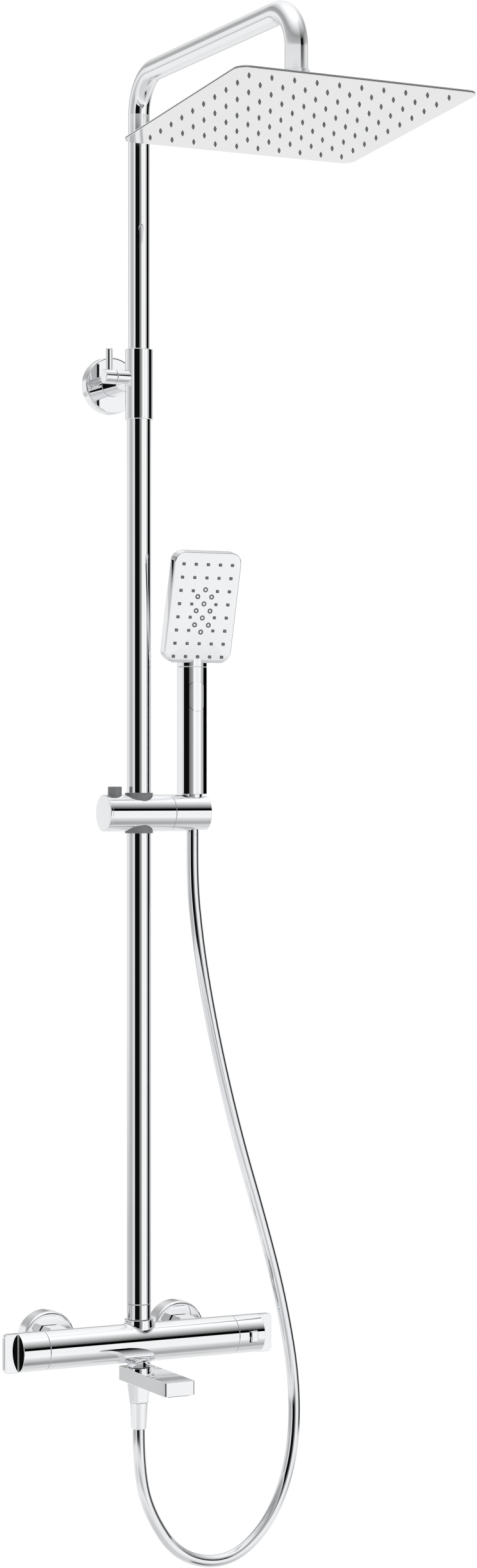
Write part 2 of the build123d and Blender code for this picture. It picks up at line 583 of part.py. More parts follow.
# --- Shower arm -------------------------------------------------------------------------------
with BuildPart() as upper_pipe:
    with BuildLine() as arm_path:
        FilletPolyline(
            (0, AXIS_Y, UPPER_PIPE_FOOT),
            (0, AXIS_Y, ARM_HEIGHT),
            (0, DROP_Y, ARM_HEIGHT),
            (0, DROP_Y, DROP_END),
            radius=ARM_BEND,
        )
    with BuildSketch(upright(0, AXIS_Y, UPPER_PIPE_FOOT)):
        Circle(UPPER_PIPE_RADIUS)
        Circle(UPPER_PIPE_RADIUS - PIPE_WALL, mode=Mode.SUBTRACT)
    sweep(path=arm_path.line)
save(upper_pipe, "upper_pipe")
COLUMN_BUSH_HEIGHT = 16.0
ring("column_bush", upright(0, AXIS_Y, UPPER_PIPE_FOOT), PIPE_INNER - RUNNING, UPPER_PIPE_RADIUS + RUNNING,
     COLUMN_BUSH_HEIGHT)

BALL_ROOM = 1.0
NIPPLE_FLANGE_FOOT = BALL_HEIGHT + BALL_RADIUS + BALL_ROOM
NIPPLE_FLANGE_THICKNESS = 3.0
NIPPLE_INSERT = 20.0
arm_bore = UPPER_PIPE_RADIUS - PIPE_WALL
with BuildPart() as arm_nipple:
    rod(upright(0, DROP_Y, NIPPLE_FLANGE_FOOT), arm_bore - SEATED,
        DROP_END + NIPPLE_INSERT - NIPPLE_FLANGE_FOOT)
    rod(upright(0, DROP_Y, NIPPLE_FLANGE_FOOT), ARM_NIPPLE_FLANGE, NIPPLE_FLANGE_THICKNESS)
    rod(upright(0, DROP_Y, NIPPLE_FLANGE_FOOT), WATERWAY_RADIUS, DROP_END, mode=Mode.SUBTRACT)
save(arm_nipple, "arm_nipple")

# --- Ball joint and rain head -----------------------------------------------------------------
COLLAR_LIP = 5.0  # the socket closes this far below the ball's centre
with BuildPart() as swivel_collar:
    collar_foot_z = BALL_HEIGHT - COLLAR_LIP
    rod(upright(0, DROP_Y, collar_foot_z), COLLAR_RADIUS, DROP_END - BODY_GAP - collar_foot_z)
    rod(upright(0, DROP_Y, BALL_HEIGHT), arm_bore - SEATED + RUNNING, DROP_END, mode=Mode.SUBTRACT)
    rod(upright(0, DROP_Y, NIPPLE_FLANGE_FOOT - BODY_GAP), ARM_NIPPLE_FLANGE + RUNNING,
        NIPPLE_FLANGE_THICKNESS + 2 * BODY_GAP, mode=Mode.SUBTRACT)
    rod(upright(0, DROP_Y, collar_foot_z), arm_bore - SEATED + RUNNING, DROP_END, mode=Mode.SUBTRACT)
save(swivel_collar, "swivel_collar")
with BuildPart() as ball_socket:
    socket_radius = arm_bore - SEATED
    rod(upright(0, DROP_Y, collar_foot_z), socket_radius, NIPPLE_FLANGE_FOOT - BODY_GAP - collar_foot_z)
    with Locations((0, DROP_Y, BALL_HEIGHT)):
        Sphere(BALL_RADIUS + RUNNING, mode=Mode.SUBTRACT)
    rod(upright(0, DROP_Y, BALL_HEIGHT), NIPPLE_BORE, DROP_END, mode=Mode.SUBTRACT)
save(ball_socket, "ball_socket")

head_normal = Vector(0, sin(radians(HEAD_TILT)), cos(radians(HEAD_TILT)))
head_centre = Vector(0, DROP_Y, BALL_HEIGHT) - head_normal * HEAD_DROP
HEAD = Plane(origin=head_centre, x_dir=(1, 0, 0), z_dir=head_normal)
hub_foot = 3 * SHEET
with BuildPart() as head_ball:
    with Locations((0, DROP_Y, BALL_HEIGHT)):
        Sphere(BALL_RADIUS)
    rod(HEAD.offset(hub_foot), BALL_NECK_RADIUS, HEAD_DROP - hub_foot)
    rod(HEAD.offset(hub_foot), HUB_RADIUS, HUB_HEIGHT)
    rod(HEAD.offset(hub_foot), BALL_NECK_RADIUS / 2, 2 * HEAD_DROP, mode=Mode.SUBTRACT)
save(head_ball, "head_ball_stud")


def head_sheet(label, level, opening):
    """Makes one of the rain head's square layers: a rounded sheet with a centred opening."""
    with BuildPart() as sheet:
        with BuildSketch(HEAD.offset(level)):
            RectangleRounded(HEAD_SIZE, HEAD_SIZE, HEAD_CORNER)
            if opening == "jets":
                with GridLocations(JET_PITCH, JET_PITCH, JET_COUNT, JET_COUNT):
                    Circle(JET_HOLE_RADIUS, mode=Mode.SUBTRACT)
            if opening == "chamber":
                inner = HEAD_SIZE - 2 * HEAD_CORNER
                RectangleRounded(inner, inner, HEAD_CORNER / 2, mode=Mode.SUBTRACT)
            if opening == "inlet":
                Circle(BALL_NECK_RADIUS / 2, mode=Mode.SUBTRACT)
        extrude(amount=SHEET)
    save(sheet, label)


head_sheet("rain_head_face", 0, "jets")
head_sheet("rain_head_gasket", SHEET, "chamber")
head_sheet("rain_head_cover", 2 * SHEET, "inlet")
with BuildPart() as rain_jets:
    with BuildSketch(HEAD):
        with GridLocations(JET_PITCH, JET_PITCH, JET_COUNT, JET_COUNT):
            Circle(JET_HOLE_RADIUS - SEATED)
    extrude(amount=SHEET)
    with Locations(HEAD.offset(-JET_LENGTH)):
        with GridLocations(JET_PITCH, JET_PITCH, JET_COUNT, JET_COUNT):
            Cone(JET_TIP_RADIUS, JET_ROOT_RADIUS, JET_LENGTH, align=(Align.CENTER, Align.CENTER, Align.MIN))
save(rain_jets, "rain_head_jets")

# --- Slider -----------------------------------------------------------------------------------
body_left = SLIDER_LEFT + END_CAP_THICKNESS
pocket_foot = SLIDER_TOP - BUTTON_POCKET
with BuildPart() as slider_body:
    rod(sideways(body_left, SLIDER_HEIGHT), SLIDER_RADIUS, SLIDER_SEAM - body_left)
    rod(upright(0, AXIS_Y, SLIDER_FOOT), BUSH_RADIUS + SEATED, 2 * SLIDER_RADIUS, mode=Mode.SUBTRACT)
    rod(upright(BUTTON_X, AXIS_Y, pocket_foot), BUTTON_RADIUS + RUNNING, BUTTON_POCKET, mode=Mode.SUBTRACT)
    rod(sideways(AXLE_LEFT, SLIDER_HEIGHT), AXLE_RADIUS + SEATED, SLIDER_RIGHT, mode=Mode.SUBTRACT)
save(slider_body, "slider_body")
ring("slider_bush", upright(0, AXIS_Y, SLIDER_HEIGHT - BUSH_HEIGHT / 2), BUSH_RADIUS,
     LOWER_PIPE_RADIUS + RUNNING, BUSH_HEIGHT)
with BuildPart() as slider_end_cap:
    rod(sideways(SLIDER_LEFT, SLIDER_HEIGHT), SLIDER_RADIUS, END_CAP_THICKNESS)
    fillet(slider_end_cap.faces().sort_by(Axis.X)[0].edges(), SMALL_EDGE)
save(slider_end_cap, "slider_end_cap")
with BuildPart() as holder_axle:
    rod(sideways(AXLE_LEFT, SLIDER_HEIGHT), AXLE_RADIUS, AXLE_RIGHT - AXLE_LEFT)
save(holder_axle, "holder_axle")
button_top = SLIDER_TOP + BUTTON_RISE
BUTTON_LENGTH = 15.0
BUTTON_EDGE = 0.8
BUTTON_SPRING_GAP = 2.0
BUTTON_SPRING_WIRE = 1.0
BUTTON_SPRING_TURNS = 4
with BuildPart() as release_button:
    rod(upright(BUTTON_X, AXIS_Y, button_top - BUTTON_LENGTH), BUTTON_RADIUS, BUTTON_LENGTH)
    fillet(release_button.faces().sort_by(Axis.Z)[-1].edges(), BUTTON_EDGE)
save(release_button, "release_button")
spring("release_button_spring", upright(BUTTON_X, AXIS_Y, pocket_foot + SEATED),
       BUTTON_RADIUS - BUTTON_SPRING_GAP, BUTTON_SPRING_WIRE,
       button_top - BUTTON_LENGTH - pocket_foot - 2 * SEATED, BUTTON_SPRING_TURNS)

# --- Holder -----------------------------------------------------------------------------------
with BuildPart() as holder:
    rod(sideways(SLIDER_SEAM + BODY_GAP, SLIDER_HEIGHT), SLIDER_RADIUS,
        SLIDER_RIGHT - SLIDER_SEAM - BODY_GAP)
    rod(sideways(SLIDER_SEAM, SLIDER_HEIGHT), AXLE_RADIUS + RUNNING, AXLE_RIGHT + BODY_GAP - SLIDER_SEAM,
        mode=Mode.SUBTRACT)
    taper(upright(SEAT_X, AXIS_Y, SLIDER_TOP - SEAT_LENGTH), SEAT_FOOT_RADIUS, SEAT_TOP_RADIUS, SEAT_LENGTH,
          mode=Mode.SUBTRACT)
    rod(upright(SEAT_X, AXIS_Y, SLIDER_FOOT), SEAT_FOOT_RADIUS, 2 * SLIDER_RADIUS, mode=Mode.SUBTRACT)
    with BuildSketch(upright((SEAT_X + SLIDER_RIGHT) / 2, AXIS_Y, SLIDER_FOOT)):
        Rectangle(SLIDER_RIGHT - SEAT_X, SLOT_WIDTH)
    extrude(amount=2 * SLIDER_RADIUS, mode=Mode.SUBTRACT)
save(holder, "handset_holder")

# --- Hand shower grip -------------------------------------------------------------------------
grip_front = AXIS_Y - GRIP_DEPTH / 2
KEY_DEEPER = 2.2  # the key reaches this far behind the grip's wall
TUBE_SETBACK = 2.5
KEY_SPRING_RADIUS = 3.0
KEY_SPRING_TURNS = 3
TUBE_SHORT = 2.0
key_room = KEY_PROUD + GRIP_WALL + KEY_DEEPER
tube_y = AXIS_Y + TUBE_SETBACK
with BuildPart() as grip:
    grip_solid(GRIP_FOOT, GRIP_TOP - GRIP_FOOT)
    grip_solid(GRIP_FOOT + GRIP_PLUG, GRIP_TOP - GRIP_FOOT, -GRIP_WALL, Mode.SUBTRACT)
    rod(upright(SEAT_X, AXIS_Y, GRIP_FOOT), STUB_RADIUS + SEATED, GRIP_PLUG, mode=Mode.SUBTRACT)
    with BuildSketch(outwards(SEAT_X, AXIS_Y, KEY_HEIGHT)):
        SlotOverall(KEY_LENGTH, KEY_WIDTH, rotation=90)
    extrude(amount=GRIP_DEPTH, mode=Mode.SUBTRACT)
save(grip, "handset_grip")
with BuildPart() as spray_key:
    with BuildSketch(outwards(SEAT_X, grip_front - KEY_PROUD + key_room, KEY_HEIGHT)):
        SlotOverall(KEY_LENGTH - 2 * BODY_GAP, KEY_WIDTH - 2 * BODY_GAP, rotation=90)
    extrude(amount=key_room)
    grip_solid(GRIP_FOOT, GRIP_TOP - GRIP_FOOT, KEY_PROUD, Mode.INTERSECT)
save(spray_key, "spray_key")
key_spring_seat = tube_y - WATER_TUBE_RADIUS - SEATED
spring("spray_key_spring", outwards(SEAT_X, key_spring_seat, KEY_HEIGHT), KEY_SPRING_RADIUS,
       SPRING_WIRE, key_spring_seat - (grip_front - KEY_PROUD + key_room) - SEATED, KEY_SPRING_TURNS)
with BuildPart() as handset_cone:
    taper(upright(SEAT_X, AXIS_Y, CONE_FOOT), CONE_FOOT_RADIUS, CONE_TOP_RADIUS, CONE_LENGTH - SEATED)
    rod(upright(SEAT_X, AXIS_Y, GRIP_FOOT - SEATED), STUB_RADIUS, GRIP_PLUG)
    rod(upright(SEAT_X, AXIS_Y, CONE_FOOT), WATER_TUBE_BORE, GRIP_PLUG + CONE_LENGTH, mode=Mode.SUBTRACT)
save(handset_cone, "handset_cone_nut")
ring("handset_water_tube", upright(SEAT_X, tube_y, GRIP_FOOT + GRIP_PLUG + SEATED), WATER_TUBE_RADIUS,
     WATER_TUBE_BORE, GRIP_TOP - GRIP_FOOT - GRIP_PLUG - TUBE_SHORT)

# --- Hand shower head -------------------------------------------------------------------------
lean = radians(PLATE_LEAN)
PLATE = Plane(origin=PLATE_CENTRE, x_dir=(1, 0, 0), z_dir=(0, -cos(lean), -sin(lean)))
FIELD = Plane(origin=PLATE.from_local_coords(Vector(0, -FIELD_DROP, 0)), x_dir=(1, 0, 0), z_dir=PLATE.z_dir)
SHELL_WALL = 2.0
SHELL_EDGE = 3.0
FACE_CHAMFER = 0.8
neck_foot = GRIP_TOP + SEAM
grip_back = AXIS_Y + GRIP_DEPTH / 2
NECK_PROFILE = [
    (grip_front, neck_foot),
    (grip_back, neck_foot),
    (grip_back - 1, neck_foot + 13),
    (grip_back - 10, neck_foot + 42),
    (grip_back - 20, neck_foot + 42),
    (grip_front - 3.5, neck_foot + 22),
    (grip_front, neck_foot + 3.5),
]
with BuildPart() as head_shell:
    with BuildSketch(PLATE.offset(-HEAD_DEPTH)):
        RectangleRounded(PLATE_WIDTH, PLATE_LENGTH, PLATE_CORNER)
    extrude(amount=HEAD_DEPTH - FACE_THICKNESS)
    fillet(head_shell.faces().sort_by(Axis.Y)[-1].edges(), SHELL_EDGE)
    with BuildSketch(Plane(origin=(SEAT_X, 0, 0), x_dir=(0, 1, 0), z_dir=(1, 0, 0))):
        with BuildLine():
            Polyline(*NECK_PROFILE, close=True)
        make_face()
    extrude(amount=GRIP_WIDTH / 2, both=True)
    with BuildSketch(PLATE.offset(-FACE_THICKNESS)):
        Rectangle(PLATE_WIDTH, PLATE_LENGTH)
    extrude(amount=2 * FACE_THICKNESS, mode=Mode.SUBTRACT)
    with BuildSketch(PLATE.offset(-FACE_THICKNESS)):
        RectangleRounded(PLATE_WIDTH - 2 * SHELL_WALL, PLATE_LENGTH - 2 * SHELL_WALL,
                         PLATE_CORNER - SHELL_WALL)
    extrude(amount=-(HEAD_DEPTH - FACE_THICKNESS - SHELL_WALL), mode=Mode.SUBTRACT)
save(head_shell, "handset_head_shell")

NOZZLE_ROWS = 8
CORE_STEP = 15.0
CORE_SIDE = 8.0
CORE_COUNT = 4
row_middle = (NOZZLE_ROWS - 1) / 2
# The middle column leaves out its four inner rows, where the round nozzles are.
SQUARE_PLACES = [
    (column * NOZZLE_PITCH, (row - row_middle) * NOZZLE_PITCH)
    for row in range(NOZZLE_ROWS)
    for column in (-2, -1, 0, 1, 2)
    if column or abs(row - row_middle) > 2
]
CORE_PLACES = [(0, (step - (CORE_COUNT - 1) / 2) * CORE_STEP) for step in range(CORE_COUNT)] + [
    (side * CORE_SIDE, step * CORE_STEP) for side in (-1, 1) for step in (-1, 0, 1)
]
with BuildPart() as face_plate:
    with BuildSketch(PLATE.offset(SEATED - FACE_THICKNESS)):
        RectangleRounded(PLATE_WIDTH, PLATE_LENGTH, PLATE_CORNER)
    extrude(amount=FACE_THICKNESS - SEATED)
    chamfer(face_plate.faces().sort_by(Axis.Y)[0].edges(), FACE_CHAMFER)
    with BuildSketch(FIELD):
        with Locations(*SQUARE_PLACES):
            Rectangle(NOZZLE_SIZE + 2 * NOZZLE_GAP, NOZZLE_SIZE + 2 * NOZZLE_GAP)
        with Locations(*CORE_PLACES):
            Circle(CORE_NOZZLE_RADIUS + NOZZLE_GAP)
    extrude(amount=-FACE_THICKNESS, mode=Mode.SUBTRACT)
save(face_plate, "handset_face_plate")
with BuildPart() as square_nozzles:
    with BuildSketch(FIELD.offset(SEATED - FACE_THICKNESS)):
        with Locations(*SQUARE_PLACES):
            Rectangle(NOZZLE_SIZE, NOZZLE_SIZE)
    extrude(amount=FACE_THICKNESS + NOZZLE_PROUD)
save(square_nozzles, "handset_square_nozzles")
with BuildPart() as round_nozzles:
    with BuildSketch(FIELD.offset(SEATED - FACE_THICKNESS)):
        with Locations(*CORE_PLACES):
            Circle(CORE_NOZZLE_RADIUS)
    extrude(amount=FACE_THICKNESS + NOZZLE_PROUD / 2)
save(round_nozzles, "handset_round_nozzles")
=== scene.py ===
"""Rainfall shower column: smooth plated surfaces, finishes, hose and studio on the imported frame.

Everything is in metres in the frame's own axes: +Z up, +X right, +Y into the wall.
"""

import json
import logging
import math
from dataclasses import dataclass, field
from enum import Enum
from typing import Sequence

import bmesh
import bpy
import numpy as np
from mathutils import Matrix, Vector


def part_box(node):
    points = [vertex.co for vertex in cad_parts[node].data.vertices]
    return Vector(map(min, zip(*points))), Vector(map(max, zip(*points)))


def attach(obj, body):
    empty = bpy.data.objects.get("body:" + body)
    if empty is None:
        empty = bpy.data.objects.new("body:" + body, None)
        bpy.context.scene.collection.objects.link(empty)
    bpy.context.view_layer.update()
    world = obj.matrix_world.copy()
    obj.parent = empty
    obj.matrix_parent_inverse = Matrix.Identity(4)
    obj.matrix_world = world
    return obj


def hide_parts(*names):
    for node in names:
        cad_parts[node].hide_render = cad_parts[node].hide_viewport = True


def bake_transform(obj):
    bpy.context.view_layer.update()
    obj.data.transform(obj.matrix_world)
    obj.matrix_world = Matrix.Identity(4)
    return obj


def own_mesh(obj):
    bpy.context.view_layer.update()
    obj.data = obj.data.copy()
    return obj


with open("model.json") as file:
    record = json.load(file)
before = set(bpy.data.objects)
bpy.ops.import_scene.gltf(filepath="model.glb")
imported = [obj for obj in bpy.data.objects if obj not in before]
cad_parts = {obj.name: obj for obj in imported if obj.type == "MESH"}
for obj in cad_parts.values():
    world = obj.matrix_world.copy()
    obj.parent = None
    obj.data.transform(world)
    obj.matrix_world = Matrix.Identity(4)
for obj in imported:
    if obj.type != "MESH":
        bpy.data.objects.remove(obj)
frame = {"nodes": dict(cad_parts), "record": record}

log = logging.getLogger("shower_column")
MM = 0.001
WELD = MM * MM  # points closer than this become one
ROUND = 96  # points round a turned piece
CREASE = math.radians(35)  # edges that turn by more than this stay crisp

RIGHT = np.array([1.0, 0.0, 0.0])
IN = np.array([0.0, 1.0, 0.0])
UP = np.array([0.0, 0.0, 1.0])


class Body(str, Enum):
    """The bodies of the frame that pieces ride on."""

    ROOT = "root"
    DIVERTER = "diverter_control"
    TEMPERATURE = "temperature_control"
    STOP = "safety_stop"
    SPOUT = "spout_arm"
    LOCK = "height_lock"
    CARRIAGE = "column_carriage"
    ARM = "shower_arm"
    SWIVEL = "swivel"
    HEAD = "rain_head"
    SLIDER = "slider"
    RELEASE = "slider_release"
    HOLDER = "holder"
    HANDSET = "handset"
    SELECTOR = "spray_selector"


class Slot(str, Enum):
    """The record's material slots."""

    CHROME = "polished_chrome"
    STAINLESS = "polished_stainless"
    CHROMED_ABS = "chromed_plastic"
    SPRAY_PLATE = "spray_plate"
    ACETAL = "grey_plastic"
    SILICONE = "grey_silicone"
    RUBBER = "black_rubber"
    BRASS = "brass"
    ZINC_STEEL = "zinc_steel"
    POLYPROPYLENE = "white_plastic"
    HOSE = "metallic_hose"


class Pattern(Enum):
    """What the surface shows close up."""

    POLISHED = "polished"
    ROLLED = "rolled"
    MOULDED = "moulded"
    TURNED = "turned"
    SPANGLED = "spangled"
    EXTRUDED = "extruded"


# --- Finishes ---------------------------------------------------------------------------------
def linear(colour: str) -> tuple[float, float, float, float]:
    """Turns an sRGB hex colour to linear.

    Args:
        colour: Six hex digits after a hash.

    Returns:
        Red, green, blue and an alpha of 1, in linear light.
    """
    channels = np.array([int(colour[i:i + 2], 16) for i in (1, 3, 5)]) / 255
    light = np.where(channels <= 0.04045, channels / 12.92, ((channels + 0.055) / 1.055) ** 2.4)
    return (*light.tolist(), 1.0)


def add_node(tree: bpy.types.NodeTree, kind: str, settings: dict,
             links: dict | None = None) -> bpy.types.Node:
    """Adds a node with its settings and links.

    Args:
        tree: The node tree.
        kind: The node's type.
        settings: Values by socket name or number, or by the node's own property name.
        links: Source sockets by socket name or number.

    Returns:
        The new node.
    """
    node = tree.nodes.new(kind)
    for name, value in settings.items():
        if isinstance(name, int) or name in node.inputs:
            node.inputs[name].default_value = value
        else:
            setattr(node, name, value)
    for name, source in (links or {}).items():
        tree.links.new(source, node.inputs[name])
    return node


@dataclass(frozen=True)
class Finish:
    """One real material and the process that made its surface."""

    slot: Slot
    colour: str
    shade: str  # the colour in its darker patches
    metallic: float
    roughness: tuple[float, float]
    pattern: Pattern
    grain_mm: float  # size of the fine relief
    relief_mm: float  # height of that relief
    patch_mm: float = 60.0  # size of smears and cloudy patches

    def stretched(self, tree: bpy.types.NodeTree,
                  place: bpy.types.NodeSocket) -> bpy.types.NodeSocket:
        """Stretches the coordinates where the process leaves a direction.

        Args:
            tree: The material's node tree.
            place: The coordinates.

        Returns:
            The coordinates for the fine relief.
        """
        scale = {
            Pattern.ROLLED: (1.0, 0.04, 1.0),
            Pattern.TURNED: (1.0, 0.05, 0.05),
            Pattern.EXTRUDED: (0.05, 1.0, 1.0),
        }.get(self.pattern, (1.0, 1.0, 1.0))
        mapping = add_node(tree, "ShaderNodeMapping", {"Scale": scale}, {"Vector": place})
        return mapping.outputs["Vector"]

    def make(self) -> bpy.types.Material:
        """Builds the material: cloudy colour, smeared gloss and a fine relief.

        Returns:
            The material, named for its slot.
        """
        material = bpy.data.materials.new(self.slot.value)
        material.use_nodes = True
        tree = material.node_tree
        tree.nodes.clear()
        space = "UV" if self.slot is Slot.HOSE else "Object"
        source = add_node(tree, "ShaderNodeTexCoord", {}).outputs[space]
        patches = add_node(tree, "ShaderNodeTexNoise",
                           {"Scale": 1 / (self.patch_mm * MM), "Detail": 3.0},
                           {"Vector": source}).outputs["Fac"]
        colour = add_node(tree, "ShaderNodeMix",
                          {"data_type": "RGBA", 6: linear(self.colour), 7: linear(self.shade)},
                          {0: patches})
        gloss = add_node(tree, "ShaderNodeMapRange",
                         {"From Min": 0.35, "From Max": 0.7, "To Min": self.roughness[0],
                          "To Max": self.roughness[1]}, {"Value": patches})
        place = self.stretched(tree, source)
        scale = 1 / (self.grain_mm * MM)
        if self.pattern is Pattern.SPANGLED:
            grain = add_node(tree, "ShaderNodeTexVoronoi", {"Scale": scale}, {"Vector": place})
            height = grain.outputs["Distance"]
        else:
            octaves = 1.0 if self.pattern is Pattern.POLISHED else 4.0
            grain = add_node(tree, "ShaderNodeTexNoise", {"Scale": scale, "Detail": octaves},
                             {"Vector": place})
            height = grain.outputs["Fac"]
        relief = add_node(tree, "ShaderNodeBump",
                          {"Strength": 1.0, "Distance": self.relief_mm * MM}, {"Height": height})
        shader = add_node(tree, "ShaderNodeBsdfPrincipled", {"Metallic": self.metallic},
                          {"Base Color": colour.outputs[2], "Roughness": gloss.outputs["Result"],
                           "Normal": relief.outputs["Normal"]})
        add_node(tree, "ShaderNodeOutputMaterial", {}, {"Surface": shader.outputs["BSDF"]})
        return material


FINISHES = (
    # Bright chromium on polished brass: a near perfect mirror with faint wiping smears.
    Finish(Slot.CHROME, "#F6F7F8", "#F0F1F3", 1.0, (0.008, 0.03), Pattern.POLISHED, 18.0, 0.002),
    # Mirror polished 304 sheet: a little warmer and softer, with a trace of its rolling direction.
    Finish(Slot.STAINLESS, "#F5F5F6", "#EFEFF0", 1.0, (0.02, 0.06), Pattern.ROLLED, 4.0, 0.0004),
    # Chromed ABS: the same mirror over a moulded wall, so reflections swim a little.
    Finish(Slot.CHROMED_ABS, "#F5F6F7", "#EEEFF2", 1.0, (0.01, 0.04), Pattern.POLISHED,
           26.0, 0.006),
    # Chromed ABS spray plate, a little duller than the shell, so its reflections are soft.
    Finish(Slot.SPRAY_PLATE, "#F3F4F5", "#EDEEF0", 1.0, (0.07, 0.1), Pattern.POLISHED,
           20.0, 0.0006),
    # Moulded acetal: dull mid grey with a light tool texture.
    Finish(Slot.ACETAL, "#8B8D8F", "#808284", 0.0, (0.38, 0.5), Pattern.MOULDED, 0.8, 0.02, 20.0),
    # Moulded liquid silicone: mid grey, soft looking and slightly dusty.
    Finish(Slot.SILICONE, "#7C7F82", "#6E7174", 0.0, (0.5, 0.66), Pattern.MOULDED, 0.5, 0.01, 12.0),
    # Moulded EPDM: black with a faint bloom.
    Finish(Slot.RUBBER, "#1C1C1D", "#262627", 0.0, (0.55, 0.7), Pattern.MOULDED, 0.5, 0.01, 12.0),
    # Machined brass: yellow metal with fine rings from the turning tool.
    Finish(Slot.BRASS, "#D9B56A", "#C79F52", 1.0, (0.2, 0.34), Pattern.TURNED, 0.5, 0.004, 15.0),
    # Zinc plated steel: cool grey crystals under a thin passivated film.
    Finish(Slot.ZINC_STEEL, "#C6CACE", "#AEB3B8", 1.0, (0.26, 0.4), Pattern.SPANGLED,
           1.5, 0.004, 8.0),
    # Natural polypropylene: milky white with a waxy sheen.
    Finish(Slot.POLYPROPYLENE, "#ECECE6", "#E2E2DB", 0.0, (0.34, 0.45), Pattern.MOULDED,
           1.0, 0.01, 20.0),
    # Smooth silver PVC hose: metallised film under a clear skin, with marks along its extrusion.
    Finish(Slot.HOSE, "#F0F1F3", "#E6E8EB", 1.0, (0.02, 0.06), Pattern.EXTRUDED, 6.0, 0.003, 30.0),
)


# --- Surfaces ---------------------------------------------------------------------------------
@dataclass(frozen=True)
class Place:
    """A local frame: an origin and two across directions; the third is along their product."""

    origin: np.ndarray
    across: np.ndarray
    over: np.ndarray

    @property
    def along(self) -> np.ndarray:
        """The direction that profiles are carried in."""
        return np.cross(self.across, self.over)

    def world(self, local: np.ndarray) -> np.ndarray:
        """Local points, as (across, over, along), in the frame's axes."""
        return self.origin + local @ np.stack([self.across, self.over, self.along])


def upright(x: float, y: float, z: float) -> Place:
    """A place whose profiles go up."""
    return Place(np.array([x, y, z]), RIGHT, IN)


def rightwards(x: float, y: float, z: float) -> Place:
    """A place whose profiles go to +X."""
    return Place(np.array([x, y, z]), IN, UP)


def leftwards(x: float, y: float, z: float) -> Place:
    """A place whose profiles go to -X."""
    return Place(np.array([x, y, z]), UP, IN)


def outwards(x: float, y: float, z: float) -> Place:
    """A place whose profiles go out of the wall, to -Y."""
    return Place(np.array([x, y, z]), RIGHT, UP)


def soften(corners: Sequence[tuple[float, float]], radius: float | Sequence[float],
           steps: int = 6) -> np.ndarray:
    """Rounds the inner corners of a profile.

    Each corner becomes a quadratic curve that starts and ends one radius from it, or nearly half
    a run where the run is short. One more point just outside each end keeps the flats flat.

    Args:
        corners: The profile's points.
        radius: One radius, or one for each inner corner.
        steps: Points on each curve.

    Returns:
        The rounded profile.
    """
    points = np.asarray(corners, float)
    here = points[1:-1]
    back = points[:-2] - here
    ahead = points[2:] - here
    back_length = np.linalg.norm(back, axis=1, keepdims=True)
    ahead_length = np.linalg.norm(ahead, axis=1, keepdims=True)
    wanted = np.broadcast_to(np.asarray(radius, float), len(here))[:, None]
    reach = np.minimum(wanted, 0.45 * np.minimum(back_length, ahead_length))
    back, ahead = back / back_length * reach, ahead / ahead_length * reach
    t = np.linspace(0, 1, steps)[:, None, None]
    curve = (1 - t) ** 2 * (here + back) + 2 * t * (1 - t) * here + t**2 * (here + ahead)
    edged = np.concatenate([(here + 1.08 * back)[None], curve, (here + 1.08 * ahead)[None]])
    return np.concatenate([points[:1], edged.transpose(1, 0, 2).reshape(-1, 2), points[-1:]])


def outline(half_width: float, half_depth: float, corner: float, points: int = ROUND) -> np.ndarray:
    """A rounded rectangle, or a circle where all three sizes are equal.

    A point is the corner's centre, on the side that the angle looks to, plus the corner's radius
    in the direction of the angle.

    Args:
        half_width: Half the size across.
        half_depth: Half the size over.
        corner: The corner's radius.
        points: Number of points, a multiple of four.

    Returns:
        The outline's points.
    """
    t = (np.arange(points) + 0.5) / points * 2 * np.pi
    c, s = np.cos(t), np.sin(t)
    return np.stack([np.sign(c) * (half_width - corner) + corner * c,
                     np.sign(s) * (half_depth - corner) + corner * s], axis=1)


def crowned(half_width: float, half_depth: float, corner: float, crown: float) -> np.ndarray:
    """A rounded rectangle whose front side is a shallow arc with softened ends.

    The front is the crown's radius times the sine and cosine of an angle, short quadratic curves
    lead from it to the sides, and the two back corners are quarter circles.

    Args:
        half_width: Half the size across.
        half_depth: Half the size over.
        corner: Radius of the back corners.
        crown: Radius of the front.

    Returns:
        The outline's points, from the front's middle round to it again.
    """
    end = math.asin(half_width / crown)
    angle = np.linspace(0, 0.92 * end, 26)
    arc = np.stack([crown * np.sin(angle), -half_depth + crown - crown * np.cos(angle)], axis=1)
    edge = np.array([half_width, -half_depth + crown - crown * math.cos(end)])
    t = np.linspace(0, 1, 9)[1:, None]
    turn = (1 - t) ** 2 * arc[-1] + 2 * t * (1 - t) * edge + t**2 * (edge + [0, 1.3])
    quarter = np.linspace(0, np.pi / 2, 13)[:, None]
    back = np.array([half_width, half_depth]) - corner + corner * np.concatenate(
        [np.cos(quarter), np.sin(quarter)], axis=1)
    half = np.concatenate([arc, turn, edge[None] + [0, 1.6], back])
    return np.concatenate([half, half[:0:-1] * [-1, 1]])


